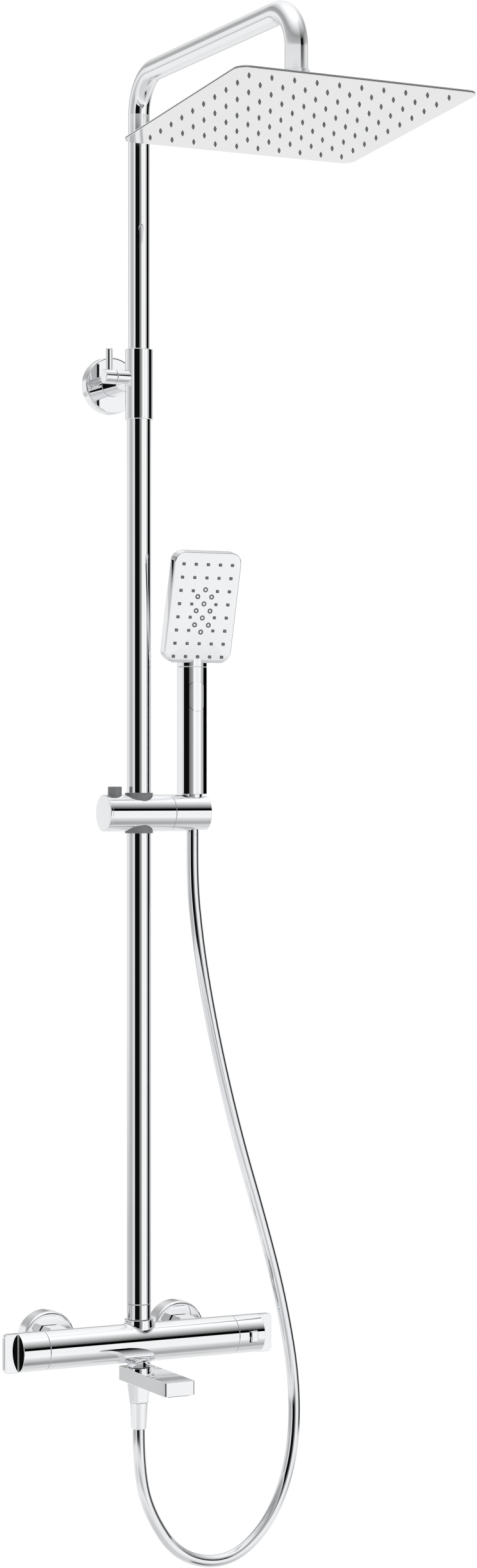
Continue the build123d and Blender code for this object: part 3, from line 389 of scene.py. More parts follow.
class Shell:
    """Surface patches gathered into one closed mesh."""

    def __init__(self) -> None:
        """Starts empty."""
        self.points: list[np.ndarray] = []
        self.faces: list[list[int]] = []
        self.count = 0

    def patch(self, grid: np.ndarray, around: bool = True, poles: bool = False) -> "Shell":
        """Adds a grid of points.

        Args:
            grid: Points as (rows, columns, 3).
            around: Joins the last column to the first.
            poles: Closes the first and last rows with a point at their middle.

        Returns:
            The shell itself.
        """
        rows, columns = grid.shape[:2]
        index = self.count + np.arange(rows * columns).reshape(rows, columns)
        ring = np.concatenate([index, index[:, :1]], axis=1) if around else index
        quads = np.stack([ring[:-1, :-1], ring[:-1, 1:], ring[1:, 1:], ring[1:, :-1]], axis=-1)
        self.faces += quads.reshape(-1, 4).tolist()
        self.points.append(grid.reshape(-1, 3))
        self.count += rows * columns
        if poles:
            self.points.append(np.stack([grid[0].mean(axis=0), grid[-1].mean(axis=0)]))
            for row, pole in ((ring[0], self.count), (ring[-1], self.count + 1)):
                middle = np.full(len(row) - 1, pole)
                self.faces += np.stack([row[:-1], row[1:], middle], axis=-1).tolist()
            self.count += 2
        return self

    def turned(self, place: Place, profile: np.ndarray, points: int = ROUND) -> "Shell":
        """Turns a profile of (along, radius) in millimetres about a place's axis.

        A point is the radius times the cosine and sine of the angle, at its height along the axis.

        Args:
            place: Where the axis starts.
            profile: The profile, which starts and ends on the axis or at the same point.
            points: Points round the axis.

        Returns:
            The shell itself.
        """
        profile = np.asarray(profile, float) * MM
        circle = outline(1.0, 1.0, 1.0, points)
        heights = np.broadcast_to(profile[:, 0, None, None], (len(profile), points, 1))
        local = np.concatenate([profile[:, 1, None, None] * circle[None], heights], axis=2)
        return self.patch(place.world(local))

    def prism(self, place: Place, size: tuple[float, float, float], profile: np.ndarray,
              points: int = 64) -> "Shell":
        """Carries a rounded rectangle along a place's axis, drawn in by the profile.

        Each row is the outline with its half sizes and corner less that row's inset.

        Args:
            place: The rectangle's middle, at the profile's zero.
            size: Width, depth and corner radius in millimetres.
            profile: Rows of (along, inset) in millimetres.
            points: Points round the outline.

        Returns:
            The shell itself.
        """
        width, depth, corner = size
        rings = np.stack([
            outline(width / 2 - inset, depth / 2 - inset, max(corner - inset, 0.05), points)
            for _, inset in profile])
        return self.stack(place, rings, np.asarray(profile)[:, 0])

    def stack(self, place: Place, rings: np.ndarray, heights: np.ndarray) -> "Shell":
        """Stacks closed outlines along a place's axis and closes both ends.

        Args:
            place: Where the heights start.
            rings: Outlines in millimetres, as (rows, points, 2).
            heights: Each row's height in millimetres.

        Returns:
            The shell itself.
        """
        levels = np.broadcast_to(heights[:, None, None], (*rings.shape[:2], 1))
        return self.patch(place.world(np.concatenate([rings, levels], axis=2) * MM), poles=True)

    def tube(self, path: np.ndarray, radius: float, side: np.ndarray,
             points: int = ROUND) -> "Shell":
        """Carries a circle along a path that lies in one plane.

        A point is on the path, plus the radius times the sine along the plane's normal and the
        cosine along the product of that normal and the path's direction.

        Args:
            path: The path's points.
            radius: The circle's radius in metres.
            side: The plane's normal.
            points: Points round the tube.

        Returns:
            The shell itself.
        """
        ahead = np.gradient(path, axis=0)
        ahead /= np.linalg.norm(ahead, axis=1, keepdims=True)
        out = np.cross(side, ahead)
        circle = outline(radius, radius, radius, points)
        grid = path[:, None] + circle[None, :, :1] * out[:, None] + circle[None, :, 1:] * side
        return self.patch(grid, poles=True)

    def mesh(self, name: str) -> bpy.types.Mesh:
        """Joins the patches, points the faces out and shades them.

        Args:
            name: The mesh's name.

        Returns:
            The mesh.
        """
        mesh = bpy.data.meshes.new(name)
        mesh.from_pydata(np.concatenate(self.points).tolist(), [], self.faces)
        tidy = bmesh.new()
        tidy.from_mesh(mesh)
        bmesh.ops.remove_doubles(tidy, verts=tidy.verts, dist=WELD)
        bmesh.ops.dissolve_degenerate(tidy, edges=tidy.edges, dist=1e-7)
        bmesh.ops.recalc_face_normals(tidy, faces=tidy.faces)
        tidy.to_mesh(mesh)
        tidy.free()
        shade(mesh)
        return mesh


def shade(mesh: bpy.types.Mesh) -> None:
    """Shades a mesh smooth and keeps its real edges crisp."""
    mesh.shade_smooth()
    mesh.set_sharp_from_angle(angle=CREASE)


def link(name: str, mesh: bpy.types.Mesh) -> bpy.types.Object:
    """Puts a mesh in the scene as an object at the origin."""
    piece = bpy.data.objects.new(name, mesh)
    bpy.context.scene.collection.objects.link(piece)
    return piece


def carve(piece: bpy.types.Object, cutter: Shell, operation: str = "DIFFERENCE") -> None:
    """Cuts a closed shell out of a piece, or keeps what they share.

    Args:
        piece: The piece to cut.
        cutter: The closed shell.
        operation: DIFFERENCE or INTERSECT.
    """
    tool = link("cutter", cutter.mesh("cutter"))
    cut = piece.modifiers.new("cut", "BOOLEAN")
    cut.operation, cut.solver, cut.object = operation, "EXACT", tool
    bpy.context.view_layer.update()
    graph = bpy.context.evaluated_depsgraph_get()
    done = bpy.data.meshes.new_from_object(piece.evaluated_get(graph))
    piece.modifiers.clear()
    piece.data, old = done, piece.data
    bpy.data.meshes.remove(old)
    bpy.data.objects.remove(tool)
    shade(done)


def true_round(mesh: bpy.types.Mesh, origin: np.ndarray, axis: np.ndarray) -> None:
    """Gives the faces of a cut cylinder the normals of the true round surface.

    Args:
        mesh: The cut mesh.
        origin: A point on the cylinder's axis.
        axis: The axis's direction.
    """
    corners, faces = len(mesh.loops), len(mesh.polygons)
    normals, flats = np.empty(corners * 3), np.empty(faces * 3)
    points = np.empty(len(mesh.vertices) * 3)
    mesh.corner_normals.foreach_get("vector", normals)
    mesh.polygons.foreach_get("normal", flats)
    mesh.vertices.foreach_get("co", points)
    totals, owners = np.empty(faces, int), np.empty(corners, int)
    mesh.polygons.foreach_get("loop_total", totals)
    mesh.loops.foreach_get("vertex_index", owners)
    radial = points.reshape(-1, 3)[owners] - origin
    radial -= (radial @ axis)[:, None] * axis
    radial /= np.maximum(np.linalg.norm(radial, axis=1, keepdims=True), 1e-9)
    flat = np.repeat(flats.reshape(-1, 3), totals, axis=0)
    close = (flat * radial).sum(axis=1, keepdims=True) > math.cos(math.radians(9))
    mesh.normals_split_custom_set(np.where(close, radial, normals.reshape(-1, 3)).tolist())


# --- Workshop: what every sub-assembly shares -------------------------------------------------
class Workshop:
    """Holds the finishes and puts finished pieces on their bodies."""

    def __init__(self) -> None:
        """Makes every finish once."""
        self.materials = {finish.slot: finish.make() for finish in FINISHES}
        self.slots = {part["node"]: Slot(part["material_slot"])
                      for part in frame["record"]["subparts"]}

    def fit(self, name: str, shell: Shell, body: Body, slot: Slot, *nodes: str) -> bpy.types.Object:
        """Makes a piece of a shell, dresses it and puts it on its body.

        Args:
            name: The piece's name.
            shell: Its surface.
            body: The body that it rides on.
            slot: Its finish.
            nodes: The CAD nodes that it stands for.

        Returns:
            The piece.
        """
        piece = link(name, shell.mesh(name))
        return self.settle(piece, body, slot, *nodes)

    def settle(self, piece: bpy.types.Object, body: Body, slot: Slot,
               *nodes: str) -> bpy.types.Object:
        """Dresses a piece and puts it on its body, in place of its CAD nodes."""
        self.dress(piece, slot)
        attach(piece, body.value)
        if nodes:
            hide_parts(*nodes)
        log.info("%s: %d faces on %s", piece.name, len(piece.data.polygons), body.value)
        return piece

    def dress(self, piece: bpy.types.Object, slot: Slot) -> None:
        """Gives a piece one finish."""
        piece.data.materials.clear()
        piece.data.materials.append(self.materials[slot])

    def dress_frame(self) -> None:
        """Gives every CAD node the finish that the record names."""
        for name, slot in self.slots.items():
            node = frame["nodes"][name]
            if slot is Slot.HOSE:
                slot = Slot.ACETAL
            if node.data.materials:
                node.data.materials[0] = self.materials[slot]
            else:
                node.data.materials.append(self.materials[slot])
        log.info("dressed %d CAD nodes", len(frame["nodes"]))


@dataclass(frozen=True)
class Span:
    """The box of a CAD node, in millimetres."""

    low: np.ndarray
    high: np.ndarray

    @classmethod
    def of(cls, node: str) -> "Span":
        """Reads a node's box from the frame."""
        low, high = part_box(node)
        return cls(np.array(low) / MM, np.array(high) / MM)

    @property
    def size(self) -> np.ndarray:
        """Size along X, Y and Z."""
        return self.high - self.low

    @property
    def middle(self) -> np.ndarray:
        """The box's centre."""
        return (self.low + self.high) / 2

    def foot(self) -> Place:
        """An upward place at the middle of the box's underside."""
        return upright(*(np.array([self.middle[0], self.middle[1], self.low[2]]) * MM))


def bar(length: float, radius: float, edge: float) -> np.ndarray:
    """The profile of a round bar with rounded rims, from pole to pole."""
    return soften([(0, 0), (0, radius), (length, radius), (length, 0)], edge)


def upright_bar(node: str, edge: float) -> Shell:
    """A round bar with rounded rims that fills the box of an upright node."""
    span = Span.of(node)
    return Shell().turned(span.foot(), bar(span.size[2], span.size[0] / 2, edge))


def upright_ring(node: str, bore: float, edge: float) -> Shell:
    """A ring with rounded rims that fills the box of an upright node, round a bore."""
    span = Span.of(node)
    length, radius = span.size[2], span.size[0] / 2
    profile = soften([(0, bore), (0, radius), (length, radius), (length, bore), (0, bore)],
                     [edge, edge, min(edge, 0.3)])
    return Shell().turned(span.foot(), profile)


def cover(depth: float, radius: float, bore: float, wall: float, edge: float) -> np.ndarray:
    """The profile of a round cover that is hollow at the back, with a hole for its stem."""
    return soften([(0, radius - wall), (0, radius), (depth, radius), (depth, bore),
                   (depth - wall, bore), (depth - wall, radius - wall), (0, radius - wall)],
                  [0.3, edge, 0.4, 0.3, 0.5])


# --- Mixer ------------------------------------------------------------------------------------
@dataclass
class Mixer:
    """The bar mixer with its two controls, wall covers and the boss under the riser."""

    shop: Workshop
    body_half: float = 107.5
    boss_radius: float = 15.0
    boss_flare: float = 3.0
    neck_flare: float = 3.0
    rim: float = 0.5
    lever_corner: float = 4.0
    lever_edge: float = 0.5
    lever_back: float = 1.6  # the plate's back, behind the handle's axis
    lever_front: float = 4.4  # the plate's front, before the handle's axis
    lever_weld: float = 0.7  # radius of the bright bead where plate and handle meet
    stop_size: tuple[float, float, float] = (7.6, 11.6, 7.0)
    stop_gap: float = 0.8
    cover_wall: float = 1.5
    cover_edge: float = 3.5
    cover_bore: float = 13.05
    tail_radius: float = 10.5
    tail_inset: float = 17.3  # from the union nuts' outer side to a tail's axis
    tail_overlap: float = 3.0
    axis: np.ndarray = field(init=False)
    radius: float = field(init=False)

    def __post_init__(self) -> None:
        """Reads the handles' axis and radius from the frame."""
        self.axis = Span.of("diverter_spindle").middle
        self.radius = Span.of("diverter_handle").size[2] / 2

    def build(self) -> None:
        """Builds and dresses every piece of the mixer."""
        self.body()
        self.covers()
        controls = ((-1, "diverter", Body.DIVERTER), (1, "temperature", Body.TEMPERATURE))
        for side, name, body in controls:
            self.handle(side, name, body)
            self.lever(side, name, body)
        self.stop()

    def flare(self, shell: Shell, side: int, reach: float, radius: float, blend: float) -> None:
        """Adds a round spigot that flows into the body with a soft saddle.

        In each direction round the spigot a quadratic curve leaves the body at the blend's
        distance, aims at the corner of body and spigot, and ends on the spigot's wall.

        Args:
            shell: The shell to add to.
            side: 1 above the body and -1 below it.
            reach: Height of the spigot's end from the axis.
            radius: The spigot's radius.
            blend: Size of the saddle.
        """
        circle = outline(1.0, 1.0, 1.0)
        t = np.linspace(0, 1, 14)[:, None]
        across = np.array([radius + blend, radius, radius])[:, None, None] * circle
        seat = np.sqrt(self.radius**2 - np.minimum(np.abs(across[..., 1]), self.radius) ** 2)
        seat[0] -= 0.02
        lift = np.minimum(seat[1] + blend, reach - 0.4)
        heights = np.stack([seat[0], seat[1], lift])
        bend = np.stack([(1 - t) ** 2, 2 * t * (1 - t), t**2])
        plan = (bend[..., None] * across[:, None]).sum(axis=0)
        level = (bend * heights[:, None]).sum(axis=0)
        rim = np.array([(radius, reach - 0.4), (radius - 0.1, reach - 0.1), (radius - 0.4, reach),
                        (0.0, reach)])
        plan = np.concatenate([plan, rim[:, :1, None] * circle])
        level = np.concatenate([level, np.broadcast_to(rim[:, 1:], (4, len(circle)))])
        local = np.concatenate([plan, side * level[..., None]], axis=2) * MM
        foot = np.concatenate([circle * radius * 0.5, np.zeros((len(circle), 1))], axis=1) * MM
        local = np.concatenate([foot[None], local])
        middle = upright(0, self.axis[1] * MM, self.axis[2] * MM)
        shell.patch(middle.world(local), poles=True)

    def body(self) -> None:
        """The bored bar, the boss under the riser and the neck over the spout."""
        span = Span.of("mixer_body")
        start = rightwards(-self.body_half * MM, self.axis[1] * MM, self.axis[2] * MM)
        bar_shell = Shell().turned(start, bar(2 * self.body_half, self.radius, self.rim), 2 * ROUND)
        piece = self.shop.fit("mixer_bar", bar_shell, Body.ROOT, Slot.CHROME, "mixer_body")
        spigots = Shell()
        self.flare(spigots, 1, span.high[2] - self.axis[2], self.boss_radius, self.boss_flare)
        neck_radius = Span.of("lower_pipe").size[0] / 2 - 0.25
        self.flare(spigots, -1, self.axis[2] - span.low[2], neck_radius, self.neck_flare)
        self.shop.fit("mixer_spigots", spigots, Body.ROOT, Slot.CHROME)
        tails = Shell()
        nuts = Span.of("union_nuts")
        for side in (-1, 1):
            x = side * (nuts.high[0] - self.tail_inset)
            tails.turned(outwards(x * MM, (nuts.low[1] + self.tail_overlap) * MM, 0),
                         bar(nuts.low[1] - self.axis[1] + self.tail_overlap, self.tail_radius,
                             self.rim))
        self.shop.fit("mixer_tails", tails, Body.ROOT, Slot.CHROME)
        log.info("%s is %.0f mm long", piece.name, span.size[0])

    def covers(self) -> None:
        """The two round wall covers behind the mixer."""
        span = Span.of("escutcheons")
        radius = span.size[2] / 2
        shell = Shell()
        for side in (-1, 1):
            x = side * (span.high[0] - radius)
            shell.turned(outwards(x * MM, 0, 0),
                         cover(span.size[1], radius, self.cover_bore, self.cover_wall,
                               self.cover_edge))
        self.shop.fit("wall_covers", shell, Body.ROOT, Slot.CHROME, "escutcheons")

    def handle(self, side: int, name: str, body: Body) -> None:
        """One turned handle, with the pocket for the stop button on the right one.

        Args:
            side: -1 left or 1 right.
            name: The control's name.
            body: Its body.
        """
        span = Span.of(f"{name}_handle")
        start = rightwards(span.low[0] * MM, self.axis[1] * MM, self.axis[2] * MM)
        shell = Shell().turned(start, bar(span.size[0], self.radius, self.rim), 2 * ROUND)
        piece = self.shop.fit(f"{name}_grip", shell, body, Slot.CHROME, f"{name}_handle")
        if side > 0:
            stop = Span.of("safety_button")
            place = outwards(stop.middle[0] * MM, (self.axis[1] - 8) * MM, stop.middle[2] * MM)
            gap = 2 * self.stop_gap
            pocket = Shell().prism(place, (self.stop_size[0] + gap, self.stop_size[1] + gap, 0.8),
                                   np.array([(0, 0), (20, 0)]), 32)
            carve(piece, pocket)
            true_round(piece.data, self.axis * MM, RIGHT)
            self.shop.dress(piece, Slot.CHROME)

    def lever(self, side: int, name: str, body: Body) -> None:
        """One flat lever plate on a handle's end, square at the handle and rounded outside.

        A rounded block whose points are held back to the handle's end face.

        Args:
            side: -1 left or 1 right.
            name: The control's name.
            body: Its body.
        """
        span = Span.of(f"{name}_lever")
        handle = Span.of(f"{name}_handle")
        end = handle.high[0] if side > 0 else handle.low[0]
        tip = span.high[0] if side > 0 else span.low[0]
        reach = abs(tip - end)
        back, front = self.axis[1] + self.lever_back, self.axis[1] - self.lever_front
        place = outwards(end * MM, back * MM, self.axis[2] * MM)
        edge = self.lever_edge
        profile = soften([(0, 4), (0, 0), (back - front, 0), (back - front, 4)], edge, 5)
        shell = Shell().prism(place, (2 * reach, 2 * self.radius, self.lever_corner), profile)
        held = np.concatenate(shell.points)
        held[:, 0] = side * np.maximum(side * held[:, 0], side * (end - side * 0.1) * MM)
        shell.points = [held]
        bead = upright((end + side * 0.1) * MM, front * MM, (self.axis[2] - self.radius + 0.8) * MM)
        shell.turned(bead, bar(2 * self.radius - 1.6, self.lever_weld, 0.3), 16)
        self.shop.fit(f"{name}_plate", shell, body, Slot.CHROME, f"{name}_lever")

    def stop(self) -> None:
        """The push button that lets the temperature handle pass its stop."""
        span = Span.of("safety_button")
        place = outwards(span.middle[0] * MM, span.high[1] * MM, span.middle[2] * MM)
        profile = soften([(0, 2), (0, 0), (span.size[1], 0), (span.size[1], 2)], [0.3, 1.0], 6)
        shell = Shell().prism(place, (span.size[0], span.size[2], 1.2), profile)
        self.shop.fit("stop_button", shell, Body.STOP, Slot.CHROME, "safety_button")


# --- Spout and hose outlet --------------------------------------------------------------------
@dataclass
class Spout:
    """The flat bath spout, its outlet and the faceted hose nut with its ferrule."""

    shop: Workshop
    corner: float = 2.5
    outlet_corner: float = 1.5
    edge: float = 0.5
    facets: int = 6
    facet_share: float = 0.85  # how far the nut's section goes from a circle to a hexagon
    facet_turn: float = 30.0  # bearing of one facet's middle, in degrees
    nut_foot: float = 10.5
    ferrule_foot: float = 7.65
    outlet: tuple[float, float] = (24.0, 9.0)
    slots: int = 7
    slot_size: tuple[float, float, float] = (1.6, 6.0, 0.6)
    slot_reach: float = 9.0  # from the insert's middle to the outermost slots

    def build(self) -> None:
        """Builds and dresses the spout, nut and ferrule."""
        self.plate()
        self.aerator()
        self.nut()
        self.ferrule()

    def plate(self) -> None:
        """The flat spout with its outlet cut in the underside."""
        span = Span.of("spout")
        profile = soften([(0, 3), (0, 0), (span.size[2], 0), (span.size[2], 3)], self.edge, 6)
        shell = Shell().prism(span.foot(), (span.size[0], span.size[1], self.corner), profile)
        piece = self.shop.fit("spout_plate", shell, Body.SPOUT, Slot.CHROME, "spout")
        water = Span.of("spout_aerator")
        foot = upright(water.middle[0] * MM, water.middle[1] * MM, (water.low[2] - 2) * MM)
        pocket = Shell().prism(foot, (*self.outlet, self.outlet_corner),
                               np.array([(0, 0), (water.size[2] + 2, 0)]), 32)
        carve(piece, pocket)
        self.shop.dress(piece, Slot.CHROME)

    def aerator(self) -> None:
        """The grey outlet insert with a row of slots."""
        span = Span.of("spout_aerator")
        profile = soften([(0, 2), (0, 0), (span.size[2], 0), (span.size[2], 2)], 0.3, 5)
        size = (span.size[0], span.size[1], self.outlet_corner)
        shell = Shell().prism(span.foot(), size, profile)
        piece = self.shop.fit("spout_insert", shell, Body.SPOUT, Slot.ACETAL, "spout_aerator")
        cuts = Shell()
        for x in np.linspace(-self.slot_reach, self.slot_reach, self.slots) + span.middle[0]:
            cuts.prism(upright(x * MM, span.middle[1] * MM, (span.low[2] - 1) * MM),
                       self.slot_size, np.array([(0, 0), (2.4, 0)]), 16)
        carve(piece, cuts)
        self.shop.dress(piece, Slot.ACETAL)

    def nut(self) -> None:
        """The conical nut with six flat sides.

        The radius falls evenly from the top to the foot. Round the axis it goes most of the way
        from a circle to a hexagon, whose radius is the cosine of half a side over the cosine of
        the angle from the nearest side's middle, and back to a circle at both rims.
        """
        span = Span.of("hose_nut")
        top, foot, length = span.size[0] / 2, self.nut_foot, span.size[2]
        profile = soften([(0, 0), (0, foot), (length, top), (length, 0)], 0.8, 8)
        slope = np.linspace(0, 1, 12)[:, None]
        middle = len(profile) // 2
        side = profile[middle - 1] * (1 - slope) + profile[middle] * slope
        profile = np.concatenate([profile[:middle], side[1:-1], profile[middle:]])
        angle = (np.arange(2 * ROUND) + 0.5) / (2 * ROUND) * 2 * np.pi
        half = np.pi / self.facets
        off = np.mod(angle - math.radians(self.facet_turn) + half, 2 * half) - half
        hexagon = math.cos(half) / np.cos(off)
        from_rim = np.minimum(profile[:, 0], length - profile[:, 0])
        fade = self.facet_share * np.clip(from_rim / 0.8, 0, 1)[:, None]
        radius = profile[:, 1:] * (1 - fade + fade * hexagon[None])
        local = np.stack([radius * np.cos(angle), radius * np.sin(angle),
                          np.broadcast_to(profile[:, :1], radius.shape)], axis=2) * MM
        shell = Shell().patch(span.foot().world(local))
        self.shop.fit("faceted_nut", shell, Body.ROOT, Slot.CHROME, "hose_nut")

    def ferrule(self) -> None:
        """The tapered ferrule crimped on the hose."""
        span = Span.of("hose_ferrule")
        top, foot, length = span.size[0] / 2, self.ferrule_foot, span.size[2]
        profile = soften([(0, 0), (0, foot), (length, top), (length, 0)], [1.0, 0.6], 8)
        shell = Shell().turned(span.foot(), profile)
        self.shop.fit("crimped_ferrule", shell, Body.ROOT, Slot.CHROME, "hose_ferrule")


# --- Riser and wall bracket -------------------------------------------------------------------
@dataclass
class Riser:
    """The fixed lower pipe, its height sleeve and lock, and the wall bracket."""

    shop: Workshop
    rim: float = 0.5
    seam: float = 0.35
    seam_out: float = 24.0  # the stem's joint line, this far from the riser's axis
    cover_wall: float = 1.5
    cover_edge: float = 2.0
    bore: float = 11.5
    knob_gap: float = 0.3
    stem_end: float = 6.0  # the stem ends inside the sleeve, this far from the riser's axis

    def build(self) -> None:
        """Builds and dresses the riser's fixed pieces."""
        self.shop.fit("riser_ring", upright_bar("riser_collar", self.rim), Body.ROOT, Slot.CHROME,
                      "riser_collar")
        self.shop.fit("fixed_pipe", upright_ring("lower_pipe", self.bore, self.rim), Body.ROOT,
                      Slot.CHROME, "lower_pipe")
        self.sleeve()
        self.lock()
        self.bracket()

    def sleeve(self) -> None:
        """The clamping sleeve with its side boss."""
        span = Span.of("height_sleeve")
        axis = Span.of("lower_pipe").middle
        radius = span.high[0] - axis[0]
        lock = Span.of("bracket_stem").middle
        shell = Shell().turned(upright(axis[0] * MM, axis[1] * MM, span.low[2] * MM),
                               bar(span.size[2], radius, 0.7))
        shell.turned(leftwards(axis[0] * MM, axis[1] * MM, lock[2] * MM),
                     bar(axis[0] - span.low[0], Span.of("lock_knob").size[1] / 2, self.rim))
        self.shop.fit("clamp_sleeve", shell, Body.ROOT, Slot.CHROME, "height_sleeve")

    def lock(self) -> None:
        """The turning knob and the pin that it is turned by."""
        axis = Span.of("lower_pipe").middle
        knob, sleeve, pin = Span.of("lock_knob"), Span.of("height_sleeve"), Span.of("lock_pin")
        start = sleeve.low[0] - self.knob_gap
        shell = Shell().turned(leftwards(start * MM, axis[1] * MM, knob.middle[2] * MM),
                               bar(start - knob.low[0], knob.size[1] / 2, 0.8))
        self.shop.fit("clamp_knob", shell, Body.LOCK, Slot.CHROME, "lock_knob")
        radius, length = pin.size[0] / 2, pin.size[2]
        profile = soften([(0, 0), (0, radius), (length, radius), (length, 0)], [0.3, 1.0])
        self.shop.fit("clamp_pin", Shell().turned(pin.foot(), profile), Body.LOCK, Slot.CHROME,
                      "lock_pin")

    def bracket(self) -> None:
        """The round wall cover and the stem with its joint line."""
        span, stem = Span.of("bracket_cover"), Span.of("bracket_stem")
        wall = outwards(0, 0, span.middle[2] * MM)
        radius = stem.size[0] / 2
        rose = cover(span.size[1], span.size[0] / 2, radius + 0.05, self.cover_wall,
                     self.cover_edge)
        self.shop.fit("bracket_rose", Shell().turned(wall, rose), Body.ROOT, Slot.CHROME,
                      "bracket_cover")
        axis = -Span.of("lower_pipe").middle[1]
        start, joint = -stem.high[1], axis - self.seam_out
        half, end = self.seam / 2, axis - self.stem_end
        profile = soften([(start, 0), (start, radius), (joint - half, radius),
                          (joint, radius - self.seam), (joint + half, radius), (end, radius),
                          (end, 0)], [0.3, 0.1, 0.1, 0.1, 0.3], 4)
        self.shop.fit("bracket_arm", Shell().turned(wall, profile), Body.ROOT, Slot.CHROME,
                      "bracket_stem")


# --- Shower arm and rain head -----------------------------------------------------------------
@dataclass
class RainArm:
    """The sliding upper pipe bent over the bather, its ball joint and the square head."""

    shop: Workshop
    bend: float = 40.0
    head_size: float = 250.0
    head_corner: float = 11.0
    head_drop: float = 24.7
    tilt: float = 5.2
    sheet: float = 0.8
    sheet_edge: float = 0.25
    jets: int = 10
    jet_pitch: float = 23.15
    ball_height: float = 1232.0
    ball_radius: float = 8.0
    hub_radius: float = 16.0
    hub_height: float = 6.0
    neck_radius: float = 3.5
    collar_bore: float = 9.9

    def build(self) -> None:
        """Builds and dresses the arm, joint and head."""
        self.arm()
        self.joint()
        self.hub()
        self.sheets()
        self.nozzles()

    def arm(self) -> None:
        """The bent pipe.

        Up along the riser, a quarter circle, out level, a quarter circle and down: each quarter
        is the bend's centre plus its radius times the sine and cosine of a quarter turn.
        """
        span, collar = Span.of("upper_pipe"), Span.of("swivel_collar")
        radius = span.size[0] / 2
        rear, front = span.high[1] - radius, collar.middle[1]
        level, foot, end = span.high[2] - radius, span.low[2], collar.high[2] + 0.3
        turn = np.linspace(0, np.pi / 2, 40)
        bend = self.bend
        rise = np.stack([np.full(9, rear), np.linspace(foot, level - bend - 0.5, 9)], axis=1)
        first = np.stack([rear - bend + bend * np.cos(turn), level - bend + bend * np.sin(turn)],
                         axis=1)
        out = np.stack([np.linspace(rear - bend - 0.5, front + bend + 0.5, 7), np.full(7, level)],
                       axis=1)
        second = np.stack([front + bend - bend * np.sin(turn), level - bend + bend * np.cos(turn)],
                          axis=1)
        down = np.stack([np.full(3, front), np.linspace(level - bend - 0.5, end, 3)], axis=1)
        route = np.concatenate([rise, first, out, second, down])
        path = np.concatenate([np.full((len(route), 1), span.middle[0]), route], axis=1) * MM
        shell = Shell().tube(path, radius * MM, RIGHT)
        self.shop.fit("bent_pipe", shell, Body.ARM, Slot.CHROME, "upper_pipe")

    def joint(self) -> None:
        """The collar round the ball socket."""
        span = Span.of("swivel_collar")
        radius, length, bore = span.size[0] / 2, span.size[2], self.collar_bore
        profile = soften([(0, bore), (0, radius), (length, radius), (length, bore), (0, bore)],
                         [0.8, 0.5, 0.3])
        self.shop.fit("joint_collar", Shell().turned(span.foot(), profile), Body.SWIVEL,
                      Slot.CHROME, "swivel_collar")

    def tilted(self, level: float) -> Place:
        """The head's own plane, this far above its spray face."""
        drop = Span.of("swivel_collar").middle
        lean = math.radians(self.tilt)
        normal = np.array([0, math.sin(lean), math.cos(lean)])
        ball = np.array([drop[0], drop[1], self.ball_height])
        middle = ball - normal * (self.head_drop - level)
        return Place(middle * MM, RIGHT, np.cross(normal, RIGHT))

    def hub(self) -> None:
        """The turned ball, its neck and the low hub on the head's cover.

        The ball's stretch of the profile is its radius times the cosine and sine of the angle.
        """
        height = self.head_drop - 3 * self.sheet
        low = math.asin(self.neck_radius / self.ball_radius)
        angle = np.linspace(np.pi - low, 0, 24)
        ball = np.stack([height + self.ball_radius * np.cos(angle),
                         self.ball_radius * np.sin(angle)], axis=1)
        base = soften([(0, 0), (0, self.hub_radius), (self.hub_height, self.hub_radius),
                       (self.hub_height, self.neck_radius), (ball[0, 0], self.neck_radius)],
                      [0.3, 1.2, 1.0])
        shell = Shell().turned(self.tilted(3 * self.sheet), np.concatenate([base, ball[1:]]))
        self.shop.fit("head_hub", shell, Body.HEAD, Slot.STAINLESS, "head_ball_stud")

    def sheets(self) -> None:
        """The polished spray sheet, the gasket and the cover sheet."""
        size = (self.head_size, self.head_size, self.head_corner)
        rows = (("spray_sheet", 0, 0.0, Slot.STAINLESS, "rain_head_face"),
                ("head_gasket", 1, 0.6, Slot.SILICONE, "rain_head_gasket"),
                ("cover_sheet", 2, 0.0, Slot.STAINLESS, "rain_head_cover"))
        for name, layer, inset, slot, node in rows:
            thick = self.sheet
            profile = soften([(0, inset + 6), (0, inset), (thick, inset), (thick, inset + 6)],
                             self.sheet_edge, 4)
            shell = Shell().prism(self.tilted(layer * thick), size, profile, 96)
            self.shop.fit(name, shell, Body.HEAD, slot, node)

    def nozzles(self) -> None:
        """One hundred soft conical jets on a square grid."""
        profile = soften([(0.1, 0), (0.1, 1.65), (-2.6, 0.6), (-2.6, 0.3), (-1.8, 0.25), (-1.8, 0)],
                         [0.1, 0.2, 0.1, 0.1], 3)
        unit = Shell().turned(Place(np.zeros(3), RIGHT, IN), profile, 16)
        steps = (np.arange(self.jets) - (self.jets - 1) / 2) * self.jet_pitch
        across, over = np.meshgrid(steps, steps)
        spots = np.stack([across.ravel(), over.ravel(), np.zeros(across.size)], axis=1) * MM
        self.shop.fit("rain_jets", repeat(unit, spots, self.tilted(0)), Body.HEAD, Slot.SILICONE,
                      "rain_head_jets")


def repeat(unit: Shell, spots: np.ndarray, place: Place) -> Shell:
    """Copies a small shell to many spots of a plane.

    Args:
        unit: The shell, round its own origin.
        spots: Local points, in metres.
        place: The plane.

    Returns:
        One shell with every copy.
    """
    points = np.concatenate(unit.points)
    copies = Shell()
    copies.points = [place.world((spots[:, None] + points[None]).reshape(-1, 3))]
    for start in range(0, len(spots) * len(points), len(points)):
        copies.faces += [[start + corner for corner in face] for face in unit.faces]
    copies.count = len(spots) * len(points)
    return copies


